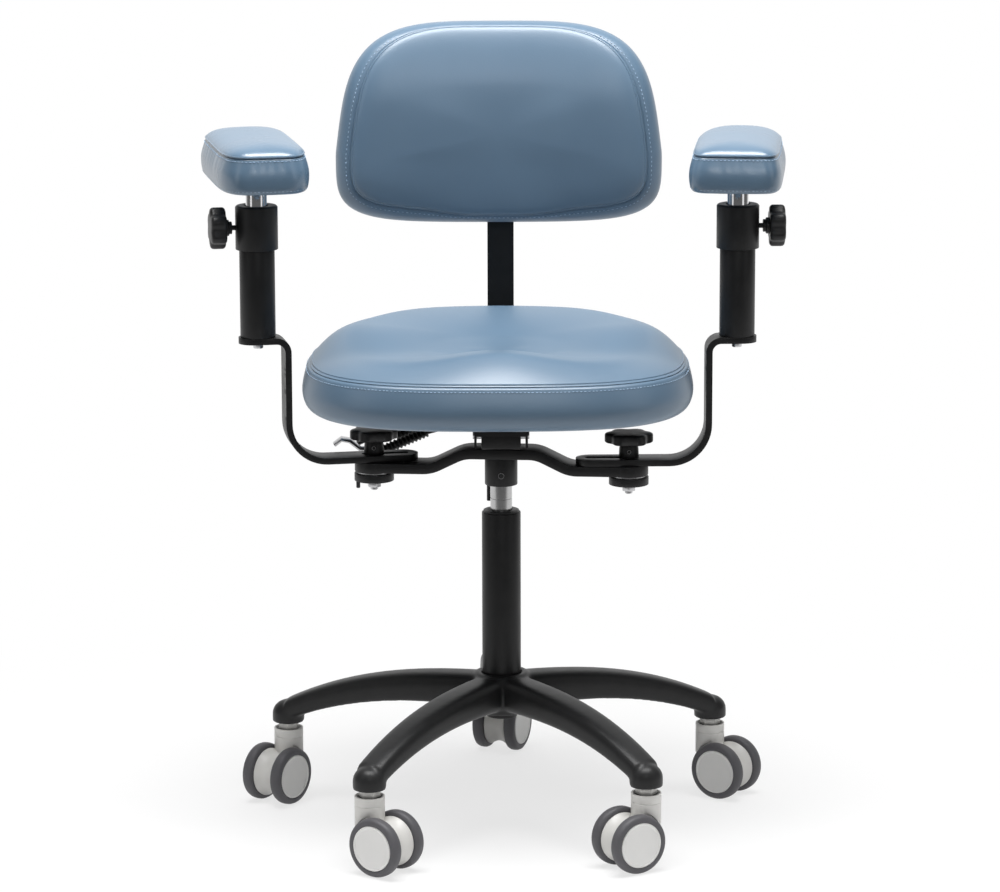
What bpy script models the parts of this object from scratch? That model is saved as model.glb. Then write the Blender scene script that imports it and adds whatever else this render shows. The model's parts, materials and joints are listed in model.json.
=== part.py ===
"""Operator's chair: dished seat, low backrest, swing-out armrests, gas lift and a five-arm castor base.

Metres, +Z up, the chair faces -Y. Every sub-part is one object, and an empty stands on each joint's axis.
"""

import math

import bmesh
import bpy
from mathutils import Vector

# Where the column stands in the object's frame, whose origin is the middle of its footprint
COLUMN_X = 0.0074
COLUMN_Y = -0.0297

# Fits and facets
FIT = 0.0003  # gap between seated, sliding or turning faces
EDGE = 0.001  # broken edge of a turned piece
OVERCUT = 0.010  # how far a cutter runs past a face
PIN_SIDES = 12
ROUND_SIDES = 16

# Castors
WHEEL_DIAMETER = 0.075
WHEEL_WIDTH = 0.020
WHEEL_SIDES = 20
WHEEL_SHOULDER = 0.004
CASTER_SPAN = 0.062  # over both wheels
CASTER_TRAIL = 0.026
CASTER_HEIGHT = 0.103  # floor to the underside of an arm's tip
CASTER_HEADINGS = (-149.3, -34.4, 68.0, -125.3, -36.0)  # plan angle from stem to axle, degrees
WHEEL_AIR = 0.002  # between a wheel's rim and the hood above it
HOOD_SIDES = 12
NECK_DIAMETER = 0.038
NECK_ABOVE = 0.0174  # the neck's foot above the axle
NECK_FLOOR = 0.0057  # under the stem's hole
SPOOL_FLANGE = 0.0028
SPOOL_WAIST = 0.0045  # how far the spool's middle is drawn in
FLANGE_INSET = 0.0065  # wheel rim to flange rim
AXLE_DIAMETER = 0.008
AXLE_GRIP = 0.014  # how far the axle goes into the far wheel
STEM_DIAMETER = 0.011
STEM_UP = 0.024  # into the arm's tip
HEX_ACROSS = 0.025
HEX_HEIGHT = 0.0075

# Base star
STAR_ARMS = 5
STAR_TURN = -52.2  # plan angle of the first arm, degrees
STEM_CIRCLE = 0.293
ARM_RISE = 0.054  # hub end above the tip end
ARM_CURVE = 2.7  # how late the arm bends down
ARM_ROOT_WIDTH = 0.052
ARM_TIP_WIDTH = 0.042
ARM_ROOT_DEPTH = 0.046
ARM_TIP_DEPTH = 0.032
ARM_TIP_LIFT = 0.004  # the channel's rim above the tip's underside
ARM_TIP_INSET = 0.001  # the channel's side within the tip's
ARM_WALL = 0.005
ARM_ROOF = 0.018
ARM_STATIONS = 6
ARM_SIDE_DROP = 0.016  # an arm's top to where its side turns straight
ARM_EDGE_DROP = 0.005  # an arm's top to its rounded edge
ARM_EDGE_SHARE = 0.75  # the rounded edge's place across the half width
ARM_CROWN_SHARE = 0.3  # the crown's share of the half width
TIP_CROWN = 0.001  # a tip's top above its arm's
TIP_ROUND = 0.018  # height of a tip's rounded shoulder
TIP_STEPS = 3
HUB_CHAMFER = 0.0045
HUB_DIAMETER = 0.074
HUB_LIP = 0.003  # hub above and below the arms

# Column and gas lift
TUBE_DIAMETER = 0.050
TUBE_BORE = 0.043
TUBE_FOOT_DIAMETER = 0.040
TUBE_FLOOR = 0.006
TUBE_BELOW_HUB = 0.008
TUBE_TOP = 0.403
BUSH_LENGTH = 0.100
BUSH_LIP = 0.003
BUSH_LIP_INSET = 0.002  # the lip's rim within the tube's
CYLINDER_DIAMETER = 0.028
CYLINDER_FOOT = 0.195
CYLINDER_TAPER = 0.0015
CYLINDER_SOCKET = 0.020  # how far the taper goes into the mechanism
BUTTON_DIAMETER = 0.009
BUTTON_HEIGHT = 0.005
ROD_DIAMETER = 0.010
ROD_TOP = 0.330
ROD_AIR = 0.040  # bore above the rod
BEARING_DIAMETER = 0.024
BEARING_HEIGHT = 0.009
ROD_COLLAR_DIAMETER = 0.020
ROD_COLLAR_HEIGHT = 0.006
LIFT_OPEN = 0.033  # cylinder shown between the bush and the yoke

# Arm yoke
YOKE_YAW = -5.0  # degrees, as it was clamped
YOKE_HUB_DIAMETER = 0.042
YOKE_HUB_HEIGHT = 0.036
YOKE_WIDTH = 0.046
YOKE_THICKNESS = 0.013
YOKE_DROP = 0.0205  # the ends below the middle
YOKE_SHOULDER = 0.040  # half of the flat middle
YOKE_SLOPE_END = 0.080
YOKE_BEND = 0.034
YOKE_END_DIAMETER = 0.050
YOKE_END_PROUD = 0.0005  # the round ends stand above and below the bar
PIVOT_X = 0.164
STOP_PIN_DIAMETER = 0.006
STOP_PIN_LENGTH = 0.060
STOP_PIN_ANGLE = 128.0

# Arms
ARM_SIDES = (("left", 180.0), ("right", 0.0))
ARM_SWING = {"left": 16.0, "right": 6.0}  # degrees from the yoke, at rest
ARM_SLIDE = {"left": 0.011, "right": 0.0}  # drawn out along the slot, at rest
PAD_TURN = {"left": 0.0, "right": -6.5}  # degrees from the arm, at rest
BAR_THICKNESS = 0.008
BAR_WIDTH = 0.040
BAR_INNER = 0.048  # pivot to the centre of the rounded inner end
BAR_SEAT_AIR = 0.0125  # between the seat's side and an upright
BAR_RISE = 0.158  # lower flat to upper flat
BAR_LOW_BEND = 0.050
BAR_TOP_BEND = 0.015
BAR_TOP_REACH = 0.036  # upright to the column's axis
BAR_TOP_END = 0.005  # column's axis to the centre of the rounded end
SLOT_LENGTH = 0.056
BOLT_DIAMETER = 0.010
NUT_HEIGHT = 0.008
NUT_DIAMETER = 0.021
NUT_FLANGE = 0.002
NUT_HEX_DIAMETER = 0.015
BOLT_TAIL = 0.004
DISC_DIAMETER = 0.051
DISC_HEIGHT = 0.009
DISC_STEP = 0.003
DISC_STEP_DIAMETER = 0.040
PIVOT_KNOB_DIAMETER = 0.062
PIVOT_KNOB_HEIGHT = 0.020
PIVOT_KNOB_STEM = 0.0125
PIVOT_STEM_DIAMETER = 0.026
PIVOT_STEM_TAPER = 0.002
KNOB_LOBES = 6
KNOB_LOBE_SIDES = 4
KNOB_FLUTE = 0.0045
KNOB_EDGE = 0.0025  # height of a knob's rounded edge
POST_DIAMETER = 0.027
COLUMN_DIAMETER = 0.045
COLUMN_HEIGHT = 0.112
COLUMN_FLOOR = 0.020
SPIGOT_DIAMETER = 0.040
SPIGOT_HEIGHT = 0.016
COLLAR_DIAMETER = 0.054
COLLAR_HEIGHT = 0.056
COLLAR_CHAMFER = 0.002
SCREW_DIAMETER = 0.008
SCREW_HEAD_DIAMETER = 0.013
SCREW_HEAD_HEIGHT = 0.007
SCREW_HEAD_TAPER = 0.0013
SCREW_GRIP = 0.014
CLAMP_KNOB_DIAMETER = 0.053
CLAMP_KNOB_HEIGHT = 0.020
CLAMP_HUB_DIAMETER = 0.020
CLAMP_HUB_HEIGHT = 0.008
CLAMP_SCREW_DIAMETER = 0.008
CLAMP_SCREW_SHOWN = 0.005
POST_SHOWN = 0.022  # above the collar, to the flange
POST_FOOT = 0.021  # above the column's floor
FLANGE_DIAMETER = 0.056
FLANGE_HEIGHT = 0.006
PIVOT_PEG_DIAMETER = 0.016
PIVOT_PEG_HEIGHT = 0.012

# Armrest pads
PAD_WIDTH = 0.112
PAD_LENGTH = 0.250
PAD_THICKNESS = 0.048
PAD_CROWN = 0.014
PAD_SQUARENESS = 5.0
PAD_SIDES = 28
PAD_WAIST = 0.0025  # how far the side is drawn in between its seams
PAD_BAND = (  # inset and share of the thickness, from the foot to the top edge
    (0.014, 0.0),
    (0.006, 0.02),
    (0.001, 0.125),
    (PAD_WAIST, 0.5),
    (0.0, 0.855),
    (0.004, 0.98),
)
PAD_DOME = ((0.010, 0.25), (0.022, 0.65), (0.038, 1.0))  # inset and share of the crown

# Seat mechanism
MECH_GAP = 0.004  # above the yoke
MECH_WIDTH = 0.050
MECH_HEIGHT = 0.030
MECH_FRONT = 0.070
MECH_REAR = 0.128
MECH_AXLE_BACK = -0.035
MECH_AXLE_UP = 0.018
TILT_AXLE_DIAMETER = 0.010
TILT_AXLE_END = 0.002
HINGE_BACK = 0.116
HINGE_UP = 0.014
HINGE_PIN_DIAMETER = 0.008
HINGE_CHEEK = 0.006
HINGE_NOTCH = 0.014  # pin to the notch's front wall
SEAT_GAP = 0.015  # mechanism to the plate above it
PLATE_THICKNESS = 0.005
PLATE_WIDTH = 0.180
PLATE_DEPTH = 0.180
EAR_GAP = 0.006  # between the box and an ear
EAR_THICKNESS = 0.003
EAR_BELOW = 0.009  # under the axle
EAR_FRONT = 0.075
EAR_REAR = 0.045
LIP_DEPTH = 0.021

# Levers, as points of their centre line from the mechanism's side
LEVER_ROD = 0.008
LEVER_ROOT = 0.005  # the rod's narrow end, which clears the box as the lever is pulled
LEVER_SLEEVE = 0.015
LEVER_RIB = 0.0052  # pitch of the ribs
LEVER_RIB_DEPTH = 0.0022
LEVER_SIDES = 8
LEVER_STUB = 0.008  # straight start at the pivot
PADDLE_WIDTH = 0.024
PADDLE_THICKNESS = 0.006
PADDLE_SHARES = (0.55, 1.0, 1.0, 0.8)  # of the width, at each of the paddle's points
LEVER_UP = 0.018  # above the mechanism's underside
LEVERS = {
    "height_lever": {
        "back": 0.072,
        "bend": (0.070, -0.016),
        "sleeve_end": (0.128, -0.041),
        "paddle": ((0.158, -0.039), (0.171, -0.028), (0.182, -0.026), (0.191, -0.033)),
    },
    "tilt_lever": {
        "back": 0.094,
        "bend": (0.062, -0.010),
        "sleeve_end": (0.112, -0.026),
        "paddle": ((0.130, -0.030), (0.142, -0.030), (0.154, -0.032), (0.162, -0.036)),
    },
}

# Seat
BOARD_THICKNESS = 0.008
BOARD_INSET = 0.045
SEAT_WIDTH = 0.497
SEAT_DEPTH = 0.440
SEAT_BACK = 0.004  # middle of the seat behind the column
SEAT_SQUARENESS = 2.4
SEAT_SEAM = 0.053  # seam above the underside
SEAT_ROLL = 0.009  # padding above the seam
SEAT_SEAM_INSET = 0.0115
SEAT_REAR_RISE = 0.021
SEAT_REAR_SPAN = (-0.1, 0.8)  # where the rise starts and ends, in half depths
SEAT_POMMEL = 0.016
SEAT_POMMEL_WIDTH = 0.052
SEAT_POMMEL_AT = -0.62  # in half depths
SEAT_POMMEL_SPREAD = 0.42
SEAT_DISH = 0.009
SEAT_DISH_AT = 0.05  # in half depths
SEAT_DISH_SPREAD = (0.55, 0.45)  # in half widths and half depths
SEAT_SIDES = 40
SEAT_BAND = (  # inset and share of the seam's height, from the foot to just under the seam
    (0.150, 0.0),
    (0.036, 0.0),
    (0.014, 0.057),
    (0.003, 0.226),
    (0.0, 0.396),
    (0.004, 0.717),
    (0.0105, 0.972),
)
SEAT_DOME = (  # inset and share of the top's height
    (0.0125, 0.35),
    (0.024, 0.75),
    (0.045, 0.96),
    (0.075, 1.0),
    (0.115, 1.0),
    (0.160, 1.0),
    (0.195, 1.0),
)

# Backrest
BACK_WIDTH = 0.430
BACK_ABOVE = 0.172  # widest line to the top
BACK_BELOW = 0.092  # widest line to the bottom
BACK_TOP_SQUARENESS = 3.0
BACK_BOTTOM_SQUARENESS = 4.5
BACK_LOW = 0.113  # lowest point above the seat's rear rim
BACK_THICKNESS = 0.052
BACK_CROWN = 0.010
BACK_BOW = 0.016  # the sides in front of the middle
BACK_WELT = 0.013  # panel edge in from the outline
BACK_WELT_WIDTH = 0.002
BACK_WELT_DEPTHS = (0.97, 0.955)  # shares of the thickness at the welt's two edges
BACK_BAND = (  # inset, share of the thickness and share of the bow, from the rear to the side's front
    (0.060, 0.0, 0.0),
    (0.014, 0.0, 0.0),
    (0.003, 0.115, 0.2),
    (0.0, 0.45, 0.6),
    (0.003, 0.75, 0.9),
)
BACK_DOME = ((0.012, 0.3), (0.035, 0.75), (0.070, 1.0))  # inset from the welt and share of the crown
BACK_SIDES = 40
BACK_BOARD_THICKNESS = 0.008
BACK_BOARD_INSET = 0.020
POST_BACK = 0.260  # front of the back post behind the column
BACK_BAR_WIDTH = 0.035
BACK_BAR_THICKNESS = 0.012
BACK_BAR_BEND = 0.032
BACK_BAR_ABOVE = 0.045  # above the carrier
BARREL_DIAMETER = 0.021
CARRIER_WIDTH = 0.054
CARRIER_HEIGHT = 0.100
CARRIER_WALL = 0.0064
CARRIER_REAR_WALL = 0.013
CARRIER_UP = 0.030  # above the backrest's lowest point
BACK_KNOB_DIAMETER = 0.050
BACK_KNOB_HEIGHT = 0.018

# Finishes: colour, roughness and metallic value
FINISHES = {
    "black_coat": ((0.012, 0.012, 0.013), 0.45, 0.0),
    "black_plastic": ((0.015, 0.015, 0.016), 0.35, 0.0),
    "chrome": ((0.85, 0.85, 0.86), 0.12, 1.0),
    "steel": ((0.55, 0.55, 0.56), 0.30, 1.0),
    "blue_leather": ((0.14, 0.24, 0.37), 0.40, 0.0),
    "grey_plastic": ((0.62, 0.61, 0.58), 0.40, 0.0),
    "grey_tread": ((0.16, 0.16, 0.18), 0.60, 0.0),
    "board": ((0.02, 0.02, 0.02), 0.70, 0.0),
}
SHARP_ANGLE = math.radians(35.0)
FRAME_SIZE = 0.03  # of an empty, as drawn
TINY = 1e-6

# Places that follow from the sizes above
WHEEL_RADIUS = WHEEL_DIAMETER / 2
NECK_TOP = CASTER_HEIGHT - HEX_HEIGHT - 2 * FIT
NECK_FOOT = WHEEL_RADIUS + NECK_ABOVE
STEM_FOOT = NECK_FOOT + NECK_FLOOR + FIT
HUB_TOP = CASTER_HEIGHT + ARM_TIP_DEPTH + ARM_RISE + HUB_LIP
HUB_BOTTOM = HUB_TOP - 2 * HUB_LIP - ARM_ROOT_DEPTH
TUBE_FOOT = HUB_BOTTOM - TUBE_BELOW_HUB
YOKE_BOTTOM = TUBE_TOP + BUSH_LIP + LIFT_OPEN
YOKE_TOP = YOKE_BOTTOM + YOKE_HUB_HEIGHT + YOKE_THICKNESS
YOKE_END_TOP = YOKE_TOP - YOKE_DROP + YOKE_END_PROUD
YOKE_END_LOW = YOKE_END_TOP - YOKE_THICKNESS - 2 * YOKE_END_PROUD
BAR_BOTTOM = YOKE_END_TOP + FIT
BAR_TOP = BAR_BOTTOM + BAR_RISE + BAR_THICKNESS
COLUMN_FOOT = BAR_TOP + FIT
COLLAR_FOOT = COLUMN_FOOT + COLUMN_HEIGHT + FIT
COLLAR_TOP = COLLAR_FOOT + COLLAR_HEIGHT
CLAMP_UP = COLLAR_FOOT + COLLAR_HEIGHT / 2
FLANGE_TOP = COLLAR_TOP + POST_SHOWN + FLANGE_HEIGHT
PAD_FOOT = FLANGE_TOP + FIT
BAR_REACH = SEAT_WIDTH / 2 + BAR_SEAT_AIR + BAR_THICKNESS / 2 - PIVOT_X  # pivot to the upright
COLUMN_AXIS = BAR_REACH + BAR_TOP_REACH
MECH_FOOT = YOKE_TOP + MECH_GAP
MECH_TOP = MECH_FOOT + MECH_HEIGHT
PLATE_FOOT = MECH_TOP + SEAT_GAP
BOARD_FOOT = PLATE_FOOT + PLATE_THICKNESS + FIT
SEAT_FOOT = BOARD_FOOT + BOARD_THICKNESS + FIT
AXLE_UP = MECH_FOOT + MECH_AXLE_UP
HINGE_HEIGHT = MECH_FOOT + HINGE_UP
SEAT_RIM = SEAT_FOOT + SEAT_SEAM + SEAT_ROLL + SEAT_REAR_RISE
BACK_FOOT = SEAT_RIM + BACK_LOW
CARRIER_FOOT = BACK_FOOT + CARRIER_UP
CARRIER_FRONT = POST_BACK - FIT - CARRIER_WALL
BACK_REAR = CARRIER_FRONT - 2 * FIT - BACK_BOARD_THICKNESS


# Meshes


def ring(radius, height, sides, phase=0.0):
    """A level circle of points."""
    step = 2 * math.pi / sides
    return [
        Vector((radius * math.cos(phase + i * step), radius * math.sin(phase + i * step), height))
        for i in range(sides)
    ]


def star_ring(radius, flute, height):
    """A level outline with a star knob's lobes."""
    points = []
    for point in ring(1.0, height, KNOB_LOBES * KNOB_LOBE_SIDES):
        turn = math.atan2(point.y, point.x)
        reach = radius - flute * (1 - math.cos(KNOB_LOBES * turn)) / 2
        points.append(Vector((reach * point.x, reach * point.y, height)))
    return points


def turned(profile, sides, phase=0.0, hollow=False):
    """A body turned about Z from (radius, height) points; a hollow one's profile is a closed loop."""
    mesh = bmesh.new()
    facing = Vector((math.cos(phase), math.sin(phase), 0.0))
    points = [mesh.verts.new(facing * radius + Vector((0, 0, height))) for radius, height in profile]
    edges = [mesh.edges.new(pair) for pair in zip(points, points[1:])]
    if hollow:
        edges.append(mesh.edges.new((points[-1], points[0])))
    bmesh.ops.spin(
        mesh,
        geom=points + edges,
        cent=(0, 0, 0),
        axis=(0, 0, 1),
        angle=2 * math.pi,
        steps=sides,
        use_merge=True,
    )
    bmesh.ops.remove_doubles(mesh, verts=mesh.verts, dist=TINY)
    return mesh


def stacked(loops, convex=True):
    """A body through loops of as many points each; convex ends are fanned, others are triangulated."""
    mesh = bmesh.new()
    rows = [[mesh.verts.new(point) for point in loop] for loop in loops]
    count = len(rows[0])
    for low, high in zip(rows, rows[1:]):
        for i in range(count):
            j = (i + 1) % count
            mesh.faces.new((low[i], low[j], high[j], high[i]))
    caps = [mesh.faces.new(rows[0]), mesh.faces.new(rows[-1])]
    if convex:
        bmesh.ops.poke(mesh, faces=caps)
    else:
        bmesh.ops.triangulate(mesh, faces=mesh.faces)
    return mesh


def prism(outline, low, high):
    """A flat outline drawn out along Z."""
    mesh = bmesh.new()
    face = mesh.faces.new([mesh.verts.new((x, y, low)) for x, y in outline])
    grown = bmesh.ops.extrude_face_region(mesh, geom=[face], use_keep_orig=True)
    top = [item for item in grown["geom"] if isinstance(item, bmesh.types.BMVert)]
    bmesh.ops.translate(mesh, verts=top, vec=(0, 0, high - low))
    return mesh


def block(low, high):
    """A box between two corners."""
    outline = [(low[0], low[1]), (high[0], low[1]), (high[0], high[1]), (low[0], high[1])]
    return prism(outline, low[2], high[2])


def stadium(start, end, width, steps=PIN_SIDES // 2):
    """The outline of a slot along X between the centres of its round ends."""
    outline = []
    for centre, first in ((end, -math.pi / 2), (start, math.pi / 2)):
        for i in range(steps + 1):
            turn = first + math.pi * i / steps
            outline.append((centre + width / 2 * math.cos(turn), width / 2 * math.sin(turn)))
    return outline


def bent_bar(path, bends, thickness, steps=4):
    """The side outline of a flat bar along a path, with a bend radius at each inner point."""
    line = [Vector(path[0])]
    for i, radius in enumerate(bends, start=1):
        corner = Vector(path[i])
        back = (Vector(path[i - 1]) - corner).normalized()
        ahead = (Vector(path[i + 1]) - corner).normalized()
        half = back.angle(ahead) / 2
        centre = corner + (back + ahead).normalized() * (radius / math.sin(half))
        start = corner + back * (radius / math.tan(half)) - centre
        end = corner + ahead * (radius / math.tan(half)) - centre
        for k in range(steps + 1):
            line.append(centre + start.slerp(end, k / steps) * radius)
    line.append(Vector(path[-1]))
    left, right = [], []
    for i, point in enumerate(line):
        along = (line[min(i + 1, len(line) - 1)] - line[max(i - 1, 0)]).normalized()
        side = Vector((-along.y, along.x)) * (thickness / 2)
        left.append(tuple(point + side))
        right.append(tuple(point - side))
    return right + left[::-1]


def superellipse(turn, half_x, half_y, squareness):
    """A point of a rounded outline at a plan angle."""
    c, s = math.cos(turn), math.sin(turn)
    share = (abs(c / half_x) ** squareness + abs(s / half_y) ** squareness) ** (-1 / squareness)
    return share * c, share * s


# Objects


def empty(name, parent=None, location=(0, 0, 0), yaw=0.0):
    """A frame to hang pieces on."""
    made = bpy.data.objects.new(name, None)
    bpy.context.scene.collection.objects.link(made)
    made.empty_display_size = FRAME_SIZE
    made.parent = parent
    made.location = location
    made.rotation_euler = (0, 0, math.radians(yaw))
    return made


def solid(name, mesh, parent, location=(0, 0, 0), rotation=(0, 0, 0)):
    """An object from a bmesh, facing out and shaded smooth up to its sharp edges."""
    bmesh.ops.recalc_face_normals(mesh, faces=mesh.faces)
    data = bpy.data.meshes.new(name)
    mesh.to_mesh(data)
    mesh.free()
    data.shade_smooth()
    data.set_sharp_from_angle(angle=SHARP_ANGLE)
    made = bpy.data.objects.new(name, data)
    bpy.context.scene.collection.objects.link(made)
    made.parent = parent
    made.location = location
    made.rotation_euler = [math.radians(angle) for angle in rotation]
    return made


def piece(name, mesh, finish, parent, location=(0, 0, 0), rotation=(0, 0, 0)):
    """A sub-part with its own material."""
    made = solid(name, mesh, parent, location, rotation)
    colour, roughness, metallic = FINISHES[finish]
    material = bpy.data.materials.new(name)
    material.use_nodes = True
    shader = material.node_tree.nodes["Principled BSDF"]
    shader.inputs["Base Color"].default_value = (*colour, 1.0)
    shader.inputs["Roughness"].default_value = roughness
    shader.inputs["Metallic"].default_value = metallic
    made.data.materials.append(material)
    return made


def combine(target, mesh, operation, location=(0, 0, 0), rotation=(0, 0, 0), solver="EXACT"):
    """Joins a helper solid to a sub-part, or cuts it out; the helper shares the sub-part's parent."""
    helper = solid(target.name + "_helper", mesh, target.parent, location, rotation)
    helper.hide_render = True
    helper.display_type = "WIRE"
    boolean = target.modifiers.new(operation.lower(), "BOOLEAN")
    boolean.operation = operation
    boolean.solver = solver
    boolean.object = helper


def join(target, mesh, location=(0, 0, 0), rotation=(0, 0, 0), solver="EXACT"):
    combine(target, mesh, "UNION", location, rotation, solver)


def cut(target, mesh, location=(0, 0, 0), rotation=(0, 0, 0), solver="EXACT"):
    combine(target, mesh, "DIFFERENCE", location, rotation, solver)


def rod(radius, low, high, sides=PIN_SIDES):
    """A plain round bar along Z."""
    return turned([(0, high), (radius, high), (radius, low), (0, low)], sides)


ALONG_Y = (-90, 0, 0)  # turns a body's +Z to +Y
AGAINST_Y = (90, 0, 0)  # turns a body's +Z to -Y, and its Y to +Z
ALONG_X = (0, 90, 0)  # turns a body's +Z to +X


# Castors


def caster_wheel(name, parent, rotation, axle):
    """One wheel, its middle plane's side at zero; the left one carries the axle."""
    inner = CASTER_SPAN / 2 - WHEEL_WIDTH
    outer = CASTER_SPAN / 2
    corner = 1 / math.cos(math.pi / WHEEL_SIDES)  # the flats, not the corners, lie on the wheel's radius
    rim = WHEEL_RADIUS * corner
    shoulder = WHEEL_SHOULDER
    profile = [
        (0, outer),
        (rim - shoulder, outer),
        (rim, outer - shoulder),
        (rim, inner + shoulder / 2),
        (rim - shoulder / 2, inner),
    ]
    if axle:
        spindle = AXLE_DIAMETER / 2
        end = -inner - AXLE_GRIP
        profile += [(spindle, inner), (spindle, end), (0, end)]
    else:
        socket = AXLE_DIAMETER / 2 + FIT
        depth = inner + AXLE_GRIP + FIT
        profile += [(socket, inner), (socket, depth), (0, depth)]
    mesh = turned(profile, WHEEL_SIDES, phase=math.pi / WHEEL_SIDES)
    piece(name, mesh, "grey_tread", parent, (CASTER_TRAIL, 0, WHEEL_RADIUS), rotation)


def caster_housing(name, parent):
    """The hood: a spool between the wheels and a neck on the stem, cut clear of the wheels."""
    inner = CASTER_SPAN / 2 - WHEEL_WIDTH - FIT
    flange = WHEEL_RADIUS - FLANGE_INSET
    waist = flange - SPOOL_WAIST
    bore = AXLE_DIAMETER / 2 + FIT
    spool = [
        (bore, inner),
        (flange, inner),
        (flange, inner - SPOOL_FLANGE),
        (waist, inner - SPOOL_FLANGE - SPOOL_WAIST),
        (waist, -inner + SPOOL_FLANGE + SPOOL_WAIST),
        (flange, -inner + SPOOL_FLANGE),
        (flange, -inner),
        (bore, -inner),
    ]
    axle = (CASTER_TRAIL, 0, WHEEL_RADIUS)
    neck = NECK_DIAMETER / 2
    made = piece(name, rod(neck, NECK_FOOT, NECK_TOP, HOOD_SIDES), "grey_plastic", parent)
    room = rod(WHEEL_RADIUS + WHEEL_AIR, inner, CASTER_SPAN, WHEEL_SIDES)
    cut(made, room.copy(), axle, ALONG_Y)
    cut(made, room, axle, AGAINST_Y)
    join(made, turned(spool, HOOD_SIDES, hollow=True), axle, ALONG_Y)
    cut(made, rod(bore, -CASTER_SPAN, CASTER_SPAN), axle, ALONG_Y)
    stem_bore = STEM_DIAMETER / 2 + FIT
    cut(made, rod(stem_bore, STEM_FOOT - FIT, NECK_TOP + OVERCUT))


def caster_stem(name, parent):
    """The stem, with its hex collar between the neck and the arm's tip."""
    pin = STEM_DIAMETER / 2
    low = NECK_TOP + FIT
    high = low + HEX_HEIGHT
    hexagon = []
    for point in ring(1.0, 0.0, PIN_SIDES):
        turn = math.atan2(point.y, point.x)
        off = (turn + math.pi / 6) % (math.pi / 3) - math.pi / 6
        reach = HEX_ACROSS / 2 / math.cos(off)
        hexagon.append(Vector((reach * point.x, reach * point.y, 0)))
    loops = [
        ring(pin, STEM_FOOT, PIN_SIDES),
        ring(pin, low, PIN_SIDES),
        [point + Vector((0, 0, low)) for point in hexagon],
        [point + Vector((0, 0, high)) for point in hexagon],
        ring(pin, high, PIN_SIDES),
        ring(pin, CASTER_HEIGHT + STEM_UP, PIN_SIDES),
    ]
    piece(name, stacked(loops), "steel", parent)


def casters(base):
    for i, heading in enumerate(CASTER_HEADINGS):
        turn = math.radians(STAR_TURN + 360 * i / STAR_ARMS)
        name = f"caster_{i + 1}"
        place = (STEM_CIRCLE * math.cos(turn), STEM_CIRCLE * math.sin(turn), 0)
        swivel = empty(name + "_swivel", base, place, heading)
        caster_stem(name + "_stem", swivel)
        caster_housing(name + "_housing", swivel)
        caster_wheel(name + "_wheel_left", swivel, ALONG_Y, axle=True)
        caster_wheel(name + "_wheel_right", swivel, AGAINST_Y, axle=False)


# Base star


def star_arm():
    """One arm along +X: an upturned channel that narrows and bends down to its tip."""
    loops = []
    for i in range(ARM_STATIONS):
        share = i / (ARM_STATIONS - 1)
        reach = HUB_DIAMETER / 4 + share * (STEM_CIRCLE - HUB_DIAMETER / 4)
        along = reach / STEM_CIRCLE
        top = HUB_TOP - HUB_LIP - ARM_RISE * along**ARM_CURVE
        low = top - ARM_ROOT_DEPTH - along * (ARM_TIP_DEPTH - ARM_TIP_LIFT - ARM_ROOT_DEPTH)
        half = (ARM_ROOT_WIDTH + along * (ARM_TIP_WIDTH - 2 * ARM_TIP_INSET - ARM_ROOT_WIDTH)) / 2
        inner = half - ARM_WALL
        roof = top - ARM_ROOF
        outside = [
            (-half, low),
            (-half, top - ARM_SIDE_DROP),
            (-ARM_EDGE_SHARE * half, top - ARM_EDGE_DROP),
            (-ARM_CROWN_SHARE * half, top),
        ]
        inside = [(inner, low), (inner, roof)]
        section = outside + [(-x, z) for x, z in outside[::-1]] + inside + [(-x, z) for x, z in inside[::-1]]
        loops.append([Vector((reach, y, z)) for y, z in section])
    return stacked(loops, convex=False)


def tip_boss():
    """The round end of an arm, with a domed shoulder."""
    tip = ARM_TIP_WIDTH / 2
    crown = CASTER_HEIGHT + ARM_TIP_DEPTH + TIP_CROWN
    profile = []
    for i in range(TIP_STEPS + 1):
        turn = math.pi / 2 * i / TIP_STEPS
        profile.append((tip * math.sin(turn), crown - TIP_ROUND * (1 - math.cos(turn))))
    return turned(profile + [(tip, CASTER_HEIGHT), (0, CASTER_HEIGHT)], PIN_SIDES)


def base_star(base):
    hub = HUB_DIAMETER / 2
    body = [
        (0, HUB_TOP),
        (hub - HUB_CHAMFER, HUB_TOP),
        (hub, HUB_TOP - HUB_CHAMFER),
        (hub, HUB_BOTTOM),
        (0, HUB_BOTTOM),
    ]
    made = piece("base_star", turned(body, ROUND_SIDES), "black_plastic", base)
    for i in range(STAR_ARMS):
        degrees = STAR_TURN + 360 * i / STAR_ARMS
        turn = math.radians(degrees)
        place = (STEM_CIRCLE * math.cos(turn), STEM_CIRCLE * math.sin(turn), 0)
        bore = rod(STEM_DIAMETER / 2 + FIT, CASTER_HEIGHT - OVERCUT, CASTER_HEIGHT + STEM_UP + FIT)
        join(made, star_arm(), rotation=(0, 0, degrees), solver="MANIFOLD")
        join(made, tip_boss(), place, (0, 0, degrees), solver="MANIFOLD")
        cut(made, bore, place, solver="MANIFOLD")
    top = TUBE_DIAMETER / 2 + FIT
    foot = TUBE_FOOT_DIAMETER / 2 + FIT
    over = HUB_TOP + OVERCUT
    bore = turned([(0, over), (top, over), (top, HUB_TOP), (foot, HUB_BOTTOM), (foot, 0), (0, 0)], ROUND_SIDES)
    cut(made, bore, solver="MANIFOLD")


# Column and gas lift


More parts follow.
